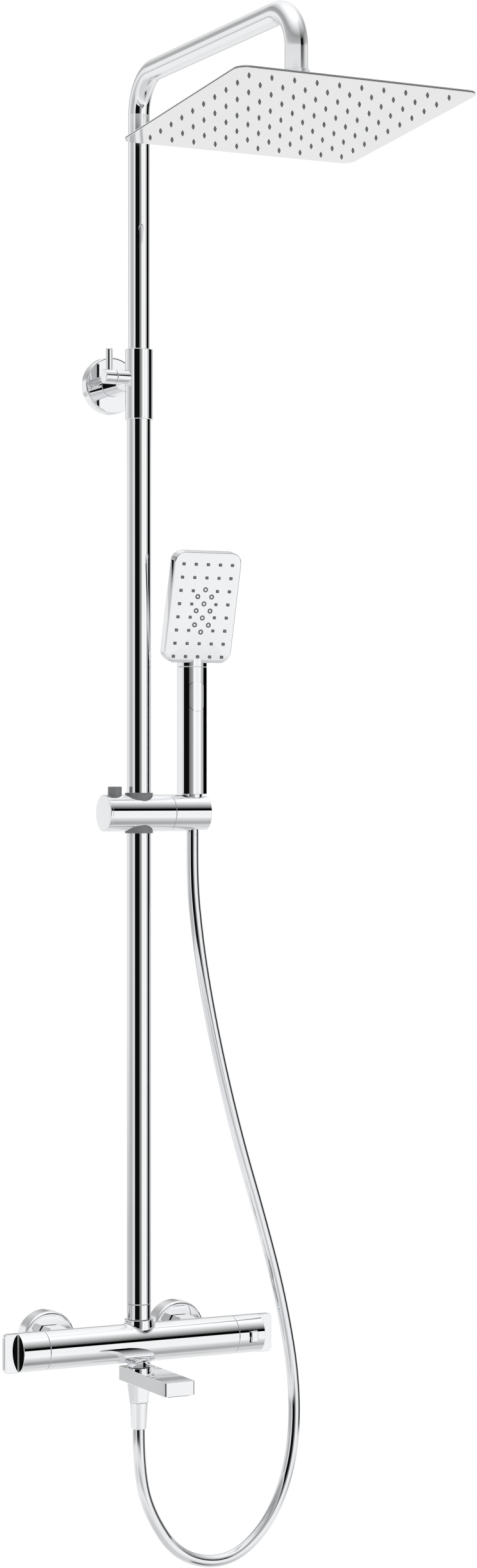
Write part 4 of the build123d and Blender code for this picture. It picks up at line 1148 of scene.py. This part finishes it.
# --- Slider and holder ------------------------------------------------------------------------
@dataclass
class Slider:
    """The slider on the riser, its release button, end cap and the tilting holder."""

    shop: Workshop
    rim: float = 0.4
    riser_radius: float = 12.56
    slot_width: float = 13.2
    seat_top: float = 11.2
    seat_foot: float = 8.3
    seat_length: float = 26.0

    def build(self) -> None:
        """Builds and dresses the slider's pieces."""
        body, cap = Span.of("slider_body"), Span.of("slider_end_cap")
        sleeve = Span.of("slider_bush")
        radius = body.size[1] / 2
        axis = body.middle
        start = rightwards(body.low[0] * MM, axis[1] * MM, axis[2] * MM)
        shell = Shell().turned(start, bar(body.size[0], radius, self.rim), 2 * ROUND)
        barrel = self.shop.fit("slider_barrel", shell, Body.SLIDER, Slot.CHROME, "slider_body")
        foot = upright(sleeve.middle[0] * MM, sleeve.middle[1] * MM, (body.low[2] - 2) * MM)
        carve(barrel, Shell().turned(foot, bar(body.size[2] + 4, sleeve.size[0] / 2, 0.01)))
        true_round(barrel.data, axis * MM, RIGHT)
        self.shop.dress(barrel, Slot.CHROME)
        dome = soften([(0, 0), (0, radius), (cap.size[0], radius), (cap.size[0], 0)], [0.2, 0.9])
        cap_shell = Shell().turned(leftwards(cap.high[0] * MM, axis[1] * MM, axis[2] * MM), dome)
        self.shop.fit("slider_cap", cap_shell, Body.SLIDER, Slot.CHROMED_ABS, "slider_end_cap")
        self.shop.fit("riser_bush", upright_ring("slider_bush", self.riser_radius, 0.4),
                      Body.SLIDER, Slot.ACETAL, "slider_bush")
        self.shop.fit("push_button", upright_bar("release_button", 0.9), Body.RELEASE,
                      Slot.ACETAL, "release_button")
        self.holder(axis, radius)

    def holder(self, axis: np.ndarray, radius: float) -> None:
        """The holder: a short bar with a conical seat that is open to the right.

        Args:
            axis: A point on the slider's axis.
            radius: The slider's radius.
        """
        span = Span.of("handset_holder")
        seat = Span.of("handset_cone_nut").middle
        start = rightwards(span.low[0] * MM, axis[1] * MM, axis[2] * MM)
        shell = Shell().turned(start, bar(span.size[0], radius, self.rim), 2 * ROUND)
        piece = self.shop.fit("tilting_holder", shell, Body.HOLDER, Slot.CHROME, "handset_holder")
        bottom = axis[2] - radius - 2
        step = axis[2] + radius - self.seat_length - bottom
        slope = (self.seat_top - self.seat_foot) / self.seat_length
        height = 2 * radius + 4
        profile = np.array([(0, 0), (0, self.seat_foot), (step, self.seat_foot),
                            (height, self.seat_top + 2 * slope), (height, 0)])
        foot = upright(seat[0] * MM, seat[1] * MM, bottom * MM)
        carve(piece, Shell().turned(foot, profile))
        width = 2 * (span.high[0] - seat[0] + 5)
        slot = Shell().prism(upright((seat[0] + width / 2) * MM, seat[1] * MM, bottom * MM),
                             (width, self.slot_width, 0.1), np.array([(0, 0), (height, 0)]), 16)
        carve(piece, slot)
        true_round(piece.data, axis * MM, RIGHT)
        self.shop.dress(piece, Slot.CHROME)


# --- Hand shower ------------------------------------------------------------------------------
@dataclass
class HandShower:
    """The hand shower: grip with key, cone nut, head shell, spray plate and nozzles."""

    shop: Workshop
    grip_corner: float = 3.0
    grip_crown: float = 21.8
    key_size: tuple[float, float] = (20.0, 32.0)
    key_proud: float = 0.4
    key_gap: float = 0.35
    plate: tuple[float, float, float] = (77.0, 117.5, 12.0)
    lean: float = 15.0
    centre: tuple[float, float] = (-103.4, 763.3)
    depth: float = 14.0
    face: float = 2.5
    plate_crown: float = 1.2  # how far the plate's middle stands above its rim
    field_drop: float = 3.1
    pitch: float = 14.0
    square: float = 3.3
    core_radius: float = 2.75
    core_step: float = 15.0
    core_side: float = 8.0
    cone_foot: float = 7.8
    jet_level: float = 0.25  # the jets' plane, before the rim of the spray plate
    grip_span: Span = field(init=False)
    x: float = field(init=False)

    def __post_init__(self) -> None:
        """Reads the grip's box and middle from the frame."""
        self.grip_span = Span.of("handset_grip")
        self.x = self.grip_span.middle[0]

    def build(self) -> None:
        """Builds and dresses the hand shower's pieces."""
        self.grip()
        self.cone()
        self.shell()
        self.spray_plate()
        self.nozzles()

    def slot_cutter(self, shrink: float) -> Shell:
        """A rounded slot through the grip's front, for the key or its pocket."""
        key = Span.of("spray_key").middle
        grip = self.grip_span
        width, height = self.key_size[0] - 2 * shrink, self.key_size[1] - 2 * shrink
        place = outwards(key[0] * MM, (grip.low[1] + 4) * MM, key[2] * MM)
        return Shell().prism(place, (width, height, width / 2), np.array([(0, 0), (8, 0)]), 128)

    def grip_shell(self, profile: np.ndarray, grow: float) -> Shell:
        """The grip's outline carried up its profile, grown all round.

        Args:
            profile: Rows of (height, inset) in millimetres.
            grow: How much larger it is all round.

        Returns:
            The closed shell.
        """
        width, depth = self.grip_span.size[:2] / 2 + grow
        rings = np.stack([crowned(width - inset, depth - inset, self.grip_corner + grow - inset,
                                  self.grip_crown + grow - inset) for _, inset in profile])
        return Shell().stack(self.grip_span.foot(), rings, profile[:, 0])

    def true_crown(self, mesh: bpy.types.Mesh, grow: float) -> None:
        """Gives the cut front the normals of its true arc."""
        front = self.grip_span.low[1] - grow + self.grip_crown + grow
        true_round(mesh, np.array([self.x, front, 0]) * MM, UP)

    def grip(self) -> None:
        """The moulded grip with the pocket of its key, and the key itself."""
        span = self.grip_span
        profile = soften([(0, 2), (0, 0), (span.size[2], 0), (span.size[2], 2)], 0.4, 5)
        piece = self.shop.fit("grip_body", self.grip_shell(profile, 0), Body.HANDSET,
                              Slot.CHROMED_ABS, "handset_grip")
        carve(piece, self.slot_cutter(0))
        self.true_crown(piece.data, 0)
        self.shop.dress(piece, Slot.CHROMED_ABS)
        key = link("key_cap", self.grip_shell(profile, self.key_proud).mesh("key_cap"))
        carve(key, self.slot_cutter(self.key_gap), "INTERSECT")
        self.true_crown(key.data, self.key_proud)
        self.shop.settle(key, Body.SELECTOR, Slot.CHROMED_ABS, "spray_key")

    def cone(self) -> None:
        """The hose's cone nut that sits in the holder."""
        span = Span.of("handset_cone_nut")
        top, length = span.size[0] / 2, self.grip_span.low[2] - span.low[2]
        profile = soften([(0, 0), (0, self.cone_foot), (length, top), (length, 0)], [0.8, 0.3], 6)
        self.shop.fit("hose_cone", Shell().turned(span.foot(), profile), Body.HANDSET, Slot.CHROME,
                      "handset_cone_nut")

    def leaned(self, level: float, drop: float = 0.0) -> Place:
        """The spray plate's plane, this far in front of its face and below its centre."""
        lean = math.radians(self.lean)
        up = np.array([0, -math.sin(lean), math.cos(lean)])
        out = np.array([0, -math.cos(lean), -math.sin(lean)])
        centre = np.array([self.x, *self.centre])
        return Place((centre + level * out - drop * up) * MM, RIGHT, up)

    def shell(self) -> None:
        """The head's back shell and the neck that runs down into the grip.

        The neck is the grip's outline carried up, while its depth and middle follow smooth
        curves between a few levels.
        """
        back = self.depth - self.face
        profile = soften([(0, 3), (0, 0), (-back, 0), (-back - 0.1, 20)], [0.3, 4.5], 8)
        head = Shell().prism(self.leaned(-self.face), self.plate, profile, 96)
        foot = self.grip_span.high[2] + 0.3
        levels = np.array([0.0, 1.2, 13.0, 28.0, 42.0])
        front = self.grip_span.low[1] + np.array([0.0, 0.0, -0.5, -1.0, 1.0])
        rear = self.grip_span.high[1] + np.array([0.0, 0.0, -1.2, -5.0, -12.0])
        steps = np.concatenate([[0, 0.25, 0.5], np.linspace(1.2, 42.0, 40)])
        front, rear = np.interp(steps, levels, front), np.interp(steps, levels, rear)
        kernel = np.array([1, 2, 3, 2, 1]) / 9
        front[5:-2] = np.convolve(front, kernel, "same")[5:-2]
        rear[5:-2] = np.convolve(rear, kernel, "same")[5:-2]
        inset = 0.4 * (1 - np.clip(steps / 0.4, 0, 1)) ** 2
        half = self.grip_span.size[0] / 2
        rings = np.stack([crowned(half - i, (r - f) / 2 - i, self.grip_corner, self.grip_crown)
                          for f, r, i in zip(front, rear, inset)])
        middle = np.stack([np.full(len(steps), self.x), (front + rear) / 2], axis=1)
        head.stack(upright(0, 0, 0), rings + middle[:, None], foot + steps)
        self.shop.fit("head_housing", head, Body.HANDSET, Slot.CHROMED_ABS, "handset_head_shell")

    def spray_plate(self) -> None:
        """The satin spray plate with its bevelled rim."""
        half, back = self.plate[0] / 2, 0.05 - self.face
        rim = soften([(back, 3), (back, 0.0), (-0.9, 0.0), (-0.25, 0.8), (-0.2, 2.0)],
                     [0.1, 0.25, 0.3], 4)
        inset = np.linspace(2.2, half - 0.1, 24)
        share = inset / half
        field = np.stack([-0.2 + self.plate_crown * (1 - (1 - share) ** 2) * 0.5, inset], axis=1)
        shell = Shell().prism(self.leaned(0), self.plate, np.concatenate([rim, field]), 96)
        self.shop.fit("satin_plate", shell, Body.HANDSET, Slot.SPRAY_PLATE, "handset_face_plate")

    def nozzles(self) -> None:
        """Thirty-six square jets and ten round ones in the middle."""
        plane = self.leaned(self.jet_level, self.field_drop)
        rows = (np.arange(8) - 3.5) * self.pitch
        columns = (np.arange(5) - 2) * self.pitch
        across, over = np.meshgrid(columns, rows)
        kept = (np.abs(across) > 1) | (np.abs(over) > 2 * self.pitch)
        spots = np.stack([across[kept], over[kept], np.zeros(kept.sum())], axis=1) * MM
        size = (self.square, self.square, 0.5)
        here = Place(np.zeros(3), RIGHT, IN)
        block = soften([(-0.6, 1), (-0.6, 0), (1.0, 0.15), (1.0, 1.0)], 0.25, 3)
        unit = Shell().prism(here, size, block, 16)
        self.shop.fit("square_jets", repeat(unit, spots, plane), Body.HANDSET, Slot.SILICONE,
                      "handset_square_nozzles")
        middle = (np.arange(4) - 1.5) * self.core_step
        sides = np.array([(side * self.core_side, step * self.core_step)
                          for side in (-1, 1) for step in (-1, 0, 1)])
        flat = np.concatenate([np.stack([np.zeros(4), middle], axis=1), sides])
        spots = np.concatenate([flat, np.zeros((len(flat), 1))], axis=1) * MM
        radius = self.core_radius
        ring = soften([(-0.6, 0), (-0.6, radius), (0.6, radius), (0.6, 1.5), (0.1, 1.3), (0.1, 0)],
                      0.25, 3)
        unit = Shell().turned(here, ring, 24)
        self.shop.fit("round_jets", repeat(unit, spots, plane), Body.HANDSET, Slot.SILICONE,
                      "handset_round_nozzles")


# --- Springs ----------------------------------------------------------------------------------
@dataclass
class Spring:
    """A hidden coil spring, copied onto the body that carries it."""

    shop: Workshop
    name: str
    node: str
    body: Body
    joint: str
    travel: float  # in millimetres
    side: int  # number of the axis that it stands along
    from_high: bool  # whether its seat is at the axis's high end
    spare: float = 1.05  # a share of the travel

    def build(self) -> None:
        """Copies the coil, merged, and puts it on its body in place of its CAD node."""
        mesh = frame["nodes"][self.node].data.copy()
        work = bmesh.new()
        work.from_mesh(mesh)
        bmesh.ops.remove_doubles(work, verts=work.verts, dist=WELD)
        work.to_mesh(mesh)
        work.free()
        shade(mesh)
        piece = link(self.name, mesh)
        self.shop.settle(piece, self.body, self.shop.slots[self.node], self.node)
        span = Span.of(self.node)
        seat = span.middle.copy()
        seat[self.side] = (span.high if self.from_high else span.low)[self.side]
        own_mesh(piece)


SPRINGS = (
    ("stop_coil", "safety_button_spring", Body.TEMPERATURE, "safety_button_press", 2.5, 1, True),
    ("release_coil", "release_button_spring", Body.SLIDER, "release_button_press", 4.0, 2, False),
    ("key_coil", "spray_key_spring", Body.HANDSET, "spray_key_press", 1.5, 1, True),
)


# --- Hose -------------------------------------------------------------------------------------
@dataclass
class Hose:
    """The smooth hose that hangs from the outlet and rises to the hand shower."""

    shop: Workshop
    diameter: float = 0.0125
    length: float = 0.998
    plane: float = -0.078
    still: float = 0.02  # a height, in metres
    carried: float = 0.45
    route: tuple[tuple[float, float], ...] = (
        (0, -0.0897), (0, -0.131), (0.011, -0.178), (0.046, -0.229), (0.104, -0.241),
        (0.152, -0.205), (0.180, -0.141), (0.184, -0.060), (0.167, 0.033), (0.143, 0.118),
        (0.115, 0.206), (0.091, 0.298), (0.073, 0.385), (0.064, 0.452), (0.062, 0.488),
        (0.062, 0.510),
    )

    def centreline(self) -> np.ndarray:
        """The hose's line, read from one NURBS spline on the route's points.

        Returns:
            Points along the line, in metres.
        """
        curve = bpy.data.curves.new("hose_route", "CURVE")
        curve.dimensions, curve.resolution_u = "3D", 16
        spline = curve.splines.new("NURBS")
        spline.points.add(len(self.route) - 1)
        places = np.array([(x, self.plane, z, 1.0) for x, z in self.route])
        spline.points.foreach_set("co", places.ravel())
        spline.order_u, spline.use_endpoint_u = 3, True
        holder = bpy.data.objects.new("hose_route", curve)
        line = bpy.data.meshes.new_from_object(holder)
        points = np.empty(len(line.vertices) * 3)
        line.vertices.foreach_get("co", points)
        bpy.data.objects.remove(holder)
        bpy.data.curves.remove(curve)
        bpy.data.meshes.remove(line)
        return points.reshape(-1, 3)

    def tube(self, name: str, path: np.ndarray, *nodes: str) -> bpy.types.Object:
        """A round tube along a path, with a UV map in metres along and round it.

        Args:
            name: The piece's name.
            path: Its centreline.
            nodes: The CAD nodes that it stands for.

        Returns:
            The piece, which rides on nothing yet.
        """
        mesh = Shell().tube(path, self.diameter / 2, IN, 48).mesh(name)
        piece = link(name, mesh)
        owners = np.empty(len(mesh.loops), int)
        points = np.empty(len(mesh.vertices) * 3)
        mesh.loops.foreach_get("vertex_index", owners)
        mesh.vertices.foreach_get("co", points)
        corners = points.reshape(-1, 3)[owners]
        gone = np.concatenate([[0], np.cumsum(np.linalg.norm(np.diff(path, axis=0), axis=1))])
        nearest = np.linalg.norm(corners[:, None] - path[None], axis=2).argmin(axis=1)
        height = corners[:, 1] - self.plane
        uv = np.stack([gone[nearest], height], axis=1)
        mesh.uv_layers.new(name="along").data.foreach_set("uv", uv.ravel())
        self.shop.dress(piece, Slot.HOSE)
        if nodes:
            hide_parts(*nodes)
        log.info("%s: %.3f m", name, gone[-1])
        return piece

    def build(self) -> None:
        """Builds the hanging length and the two short stretches under the cone nut."""
        path = self.centreline()
        hose = self.tube("hanging_hose", path, "shower_hose")
        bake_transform(hose)
        upper = Span.of("hose_upper")
        low, high = upper.low[2] * MM, upper.high[2] * MM
        middle = (low + high) / 2
        x = upper.middle[0] * MM
        rows = (("holder_hose", low, middle + 0.0002, Body.SLIDER, Body.HOLDER, ("hose_upper",)),
                ("nut_hose", middle, high, Body.HOLDER, Body.HANDSET, ()))
        for name, foot, top, first, second, nodes in rows:
            line = np.stack([np.full(8, x), np.full(8, self.plane), np.linspace(foot, top, 8)],
                            axis=1)
            piece = self.tube(name, line, *nodes)
            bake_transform(piece)


# --- Studio -----------------------------------------------------------------------------------
@dataclass
class Studio:
    """A pale floor, a tent of soft light with dark panels, and the camera."""

    camera_place: tuple[float, float, float] = (-1.429, -3.1245, 0.578)
    turn: float = 26.89
    lens: float = 74.33
    shift: float = 0.0013
    floor_level: float = -1.05
    floor_size: float = 3.0
    floor_shift: float = 0.3  # the floor's middle is this far before the wall
    lamp_place: tuple[float, float, float] = (1.2, -2.6, 3.2)
    lamp_dip: float = 42.0
    lamp_turn: float = 24.0
    lamp_size: float = 2.5
    lamp_watts: float = 25.0

    def camera(self) -> None:
        """A level camera, turned to the right."""
        data = bpy.data.cameras.new("camera")
        data.lens, data.shift_y, data.sensor_width = self.lens, self.shift, 36.0
        data.clip_end = 100.0
        item = bpy.data.objects.new("camera", data)
        item.location = self.camera_place
        item.rotation_euler = (math.radians(90), 0, -math.radians(self.turn))
        bpy.context.scene.collection.objects.link(item)
        bpy.context.scene.camera = item

    def floor(self) -> None:
        """The plain pale floor."""
        half = self.floor_size / 2
        near, far = -half - self.floor_shift, half - self.floor_shift
        corners = [(-half, near), (half, near), (half, far), (-half, far)]
        mesh = bpy.data.meshes.new("floor")
        mesh.from_pydata([(x, y, self.floor_level) for x, y in corners], [], [(0, 1, 2, 3)])
        item = link("floor", mesh)
        material = bpy.data.materials.new("painted_floor")
        material.use_nodes = True
        shader = material.node_tree.nodes["Principled BSDF"]
        shader.inputs["Base Color"].default_value = linear("#F2F2F0")
        shader.inputs["Roughness"].default_value = 0.7
        mesh.materials.append(material)
        item.visible_glossy = False

    def light(self) -> None:
        """One large soft lamp in front and above, for the plastics and the floor."""
        data = bpy.data.lights.new("soft_lamp", "AREA")
        data.shape, data.size, data.energy = "SQUARE", self.lamp_size, self.lamp_watts
        item = bpy.data.objects.new("soft_lamp", data)
        item.location = self.lamp_place
        item.rotation_euler = (math.radians(self.lamp_dip), 0, math.radians(self.lamp_turn))
        item.visible_glossy = False
        bpy.context.scene.collection.objects.link(item)

    def world(self) -> None:
        """The tent of light: grey, dark and white panels round the object, by bearing and height.

        The bearing is measured round the vertical from the camera's side, and the height is the
        angle above level. Each light is a ramp over one of them. panels goes round the bearing at
        eye level. roof goes up the height, with a dark band over the panels, at the bearings where
        gap is white, and open_roof takes its place at all others. behind goes up the height round
        the far side. dip dims the panels near level, where beside is white. level says at which
        heights the panels stand before the roof, and front says at which bearings all of these
        stand before what is behind.
        """
        world = bpy.data.worlds.new("light_tent")
        bpy.context.scene.world = world
        world.use_nodes = True
        tree = world.node_tree
        tree.nodes.clear()
        turn = math.radians(self.turn)
        to_camera = (-math.sin(turn), -math.cos(turn), 0.0)
        to_right = (math.cos(turn), -math.sin(turn), 0.0)
        ray = add_node(tree, "ShaderNodeTexCoord", {}).outputs["Generated"]
        near, side = (
            add_node(tree, "ShaderNodeVectorMath", {"operation": "DOT_PRODUCT", 1: way}, {0: ray})
            for way in (to_camera, to_right))
        high = add_node(tree, "ShaderNodeSeparateXYZ", {}, {0: ray}).outputs["Z"]
        angle = add_node(tree, "ShaderNodeMath", {"operation": "ARCTAN2"},
                         {0: side.outputs["Value"], 1: near.outputs["Value"]})
        bearing = add_node(tree, "ShaderNodeMath",
                           {"operation": "MULTIPLY_ADD", 1: 0.5 / math.pi, 2: 0.5},
                           {0: angle.outputs[0]})
        lift = add_node(tree, "ShaderNodeMath", {"operation": "ARCSINE"}, {0: high})
        height = add_node(tree, "ShaderNodeMath",
                          {"operation": "MULTIPLY_ADD", 1: 1 / math.pi, 2: 0.5},
                          {0: lift.outputs[0]})
        panels = self.ramp(tree, bearing.outputs[0], 360, (
            (-180, 0.74), (-126, 0.92), (-74, 0.44), (-40, 0.95), (-36, 0.004), (6, 0.004),
            (10, 0.2), (28, 0.42), (35, 1.12), (47, 0.98), (60, 0.98), (73, 1.12), (80, 0.6),
            (94, 0.5), (96, 0.0), (128, 0.0), (132, 0.4), (180, 0.6)))
        roof = self.ramp(tree, height.outputs[0], 180, (
            (-90, 0.75), (-76, 0.6), (-68, 0.0), (-64, 0.0), (-56, 0.3), (-44, 0.6), (-34, 0.74),
            (-24, 1.0), (11, 1.0), (13, 0.0), (24, 0.0), (27, 0.1), (45, 0.55), (57, 0.85),
            (63, 1.1), (90, 1.15)))
        open_roof = self.ramp(tree, height.outputs[0], 180, (
            (-90, 0.75), (-50, 0.7), (-30, 0.95), (-10, 0.98), (12, 0.9), (16, 0.5), (30, 0.35),
            (50, 0.85), (63, 1.1), (90, 1.15)))
        gap = self.ramp(tree, bearing.outputs[0], 360, (
            (-180, 0.0), (40, 0.0), (48, 1.0), (66, 1.0), (80, 0.6), (100, 0.0), (180, 0.0)))
        level = self.ramp(tree, height.outputs[0], 180, (
            (-90, 0.0), (-28, 0.0), (-22, 0.45), (-19, 0.4), (-16.5, 0.1), (-14, 0.15),
            (-12.5, 1.0), (11.4, 1.0), (12.4, 0.0), (90, 0.0)))
        front = self.ramp(tree, bearing.outputs[0], 360, (
            (-180, 0.0), (-160, 0.0), (-135, 1.0), (135, 1.0), (160, 0.0), (180, 0.0)))
        behind = self.ramp(tree, height.outputs[0], 180, (
            (-90, 0.8), (-40, 0.85), (-16, 0.9), (-10, 0.72), (5, 0.72), (8.5, 0.42), (12, 0.36),
            (20, 0.6), (32, 0.95), (90, 1.15)))
        beside = self.ramp(tree, bearing.outputs[0], 360, (
            (-180, 0.0), (-160, 0.0), (-140, 1.0), (-100, 1.0), (-85, 0.0), (180, 0.0)))
        dip = self.ramp(tree, height.outputs[0], 180, (
            (-90, 1.0), (-20, 1.0), (-13, 0.7), (-8, 0.7), (-4, 1.0), (90, 1.0)))
        above = self.mix(tree, gap, open_roof, roof)
        low = self.mix(tree, beside, panels, dip, "MULTIPLY")
        around = self.mix(tree, level, above, low)
        light = self.mix(tree, front, behind, around)
        tent = add_node(tree, "ShaderNodeBackground", {"Strength": 1.0}, {"Color": light})
        paper = add_node(tree, "ShaderNodeBackground", {"Color": (1, 1, 1, 1), "Strength": 1.0})
        seen = add_node(tree, "ShaderNodeLightPath", {}).outputs["Is Camera Ray"]
        either = add_node(tree, "ShaderNodeMixShader", {},
                          {0: seen, 1: tent.outputs[0], 2: paper.outputs[0]})
        add_node(tree, "ShaderNodeOutputWorld", {}, {"Surface": either.outputs[0]})

    def mix(self, tree: bpy.types.NodeTree, share: bpy.types.NodeSocket,
            first: bpy.types.NodeSocket, second: bpy.types.NodeSocket,
            blend: str = "MIX") -> bpy.types.NodeSocket:
        """Goes from the first colour to the second, or multiplies them, by a share."""
        node = add_node(tree, "ShaderNodeMix", {"data_type": "RGBA", "blend_type": blend},
                        {0: share, 6: first, 7: second})
        return node.outputs[2]

    def ramp(self, tree: bpy.types.NodeTree, source: bpy.types.NodeSocket, full: float,
             stops: Sequence[tuple[float, float]]) -> bpy.types.NodeSocket:
        """A grey ramp over an angle.

        Args:
            tree: The world's node tree.
            source: The angle as a share of its full range.
            full: The range in degrees, half of it below zero.
            stops: Degrees and the light there.

        Returns:
            The ramp's colour.
        """
        node = add_node(tree, "ShaderNodeValToRGB", {}, {"Fac": source})
        elements = node.color_ramp.elements
        while len(elements) < len(stops):
            elements.new(1.0)
        for element, (degrees, light) in zip(elements, stops):
            element.position = degrees / full + 0.5
            element.color = (light, light, light, 1.0)
        return node.outputs["Color"]

    def build(self) -> None:
        """Sets up camera, floor, lamp, tent and plain colour handling."""
        self.camera()
        self.floor()
        self.light()
        self.world()
        bpy.context.scene.view_settings.view_transform = "Standard"


def main() -> None:
    """Builds every sub-assembly on the frame."""
    logging.basicConfig(level=logging.INFO, format="%(message)s")
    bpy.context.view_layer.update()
    shop = Workshop()
    shop.dress_frame()
    Mixer(shop).build()
    Spout(shop).build()
    Riser(shop).build()
    RainArm(shop).build()
    Slider(shop).build()
    HandShower(shop).build()
    for spring in SPRINGS:
        Spring(shop, *spring).build()
    Hose(shop).build()
    Studio().build()
    bpy.context.view_layer.update()


if __name__ == "__main__":
    main()
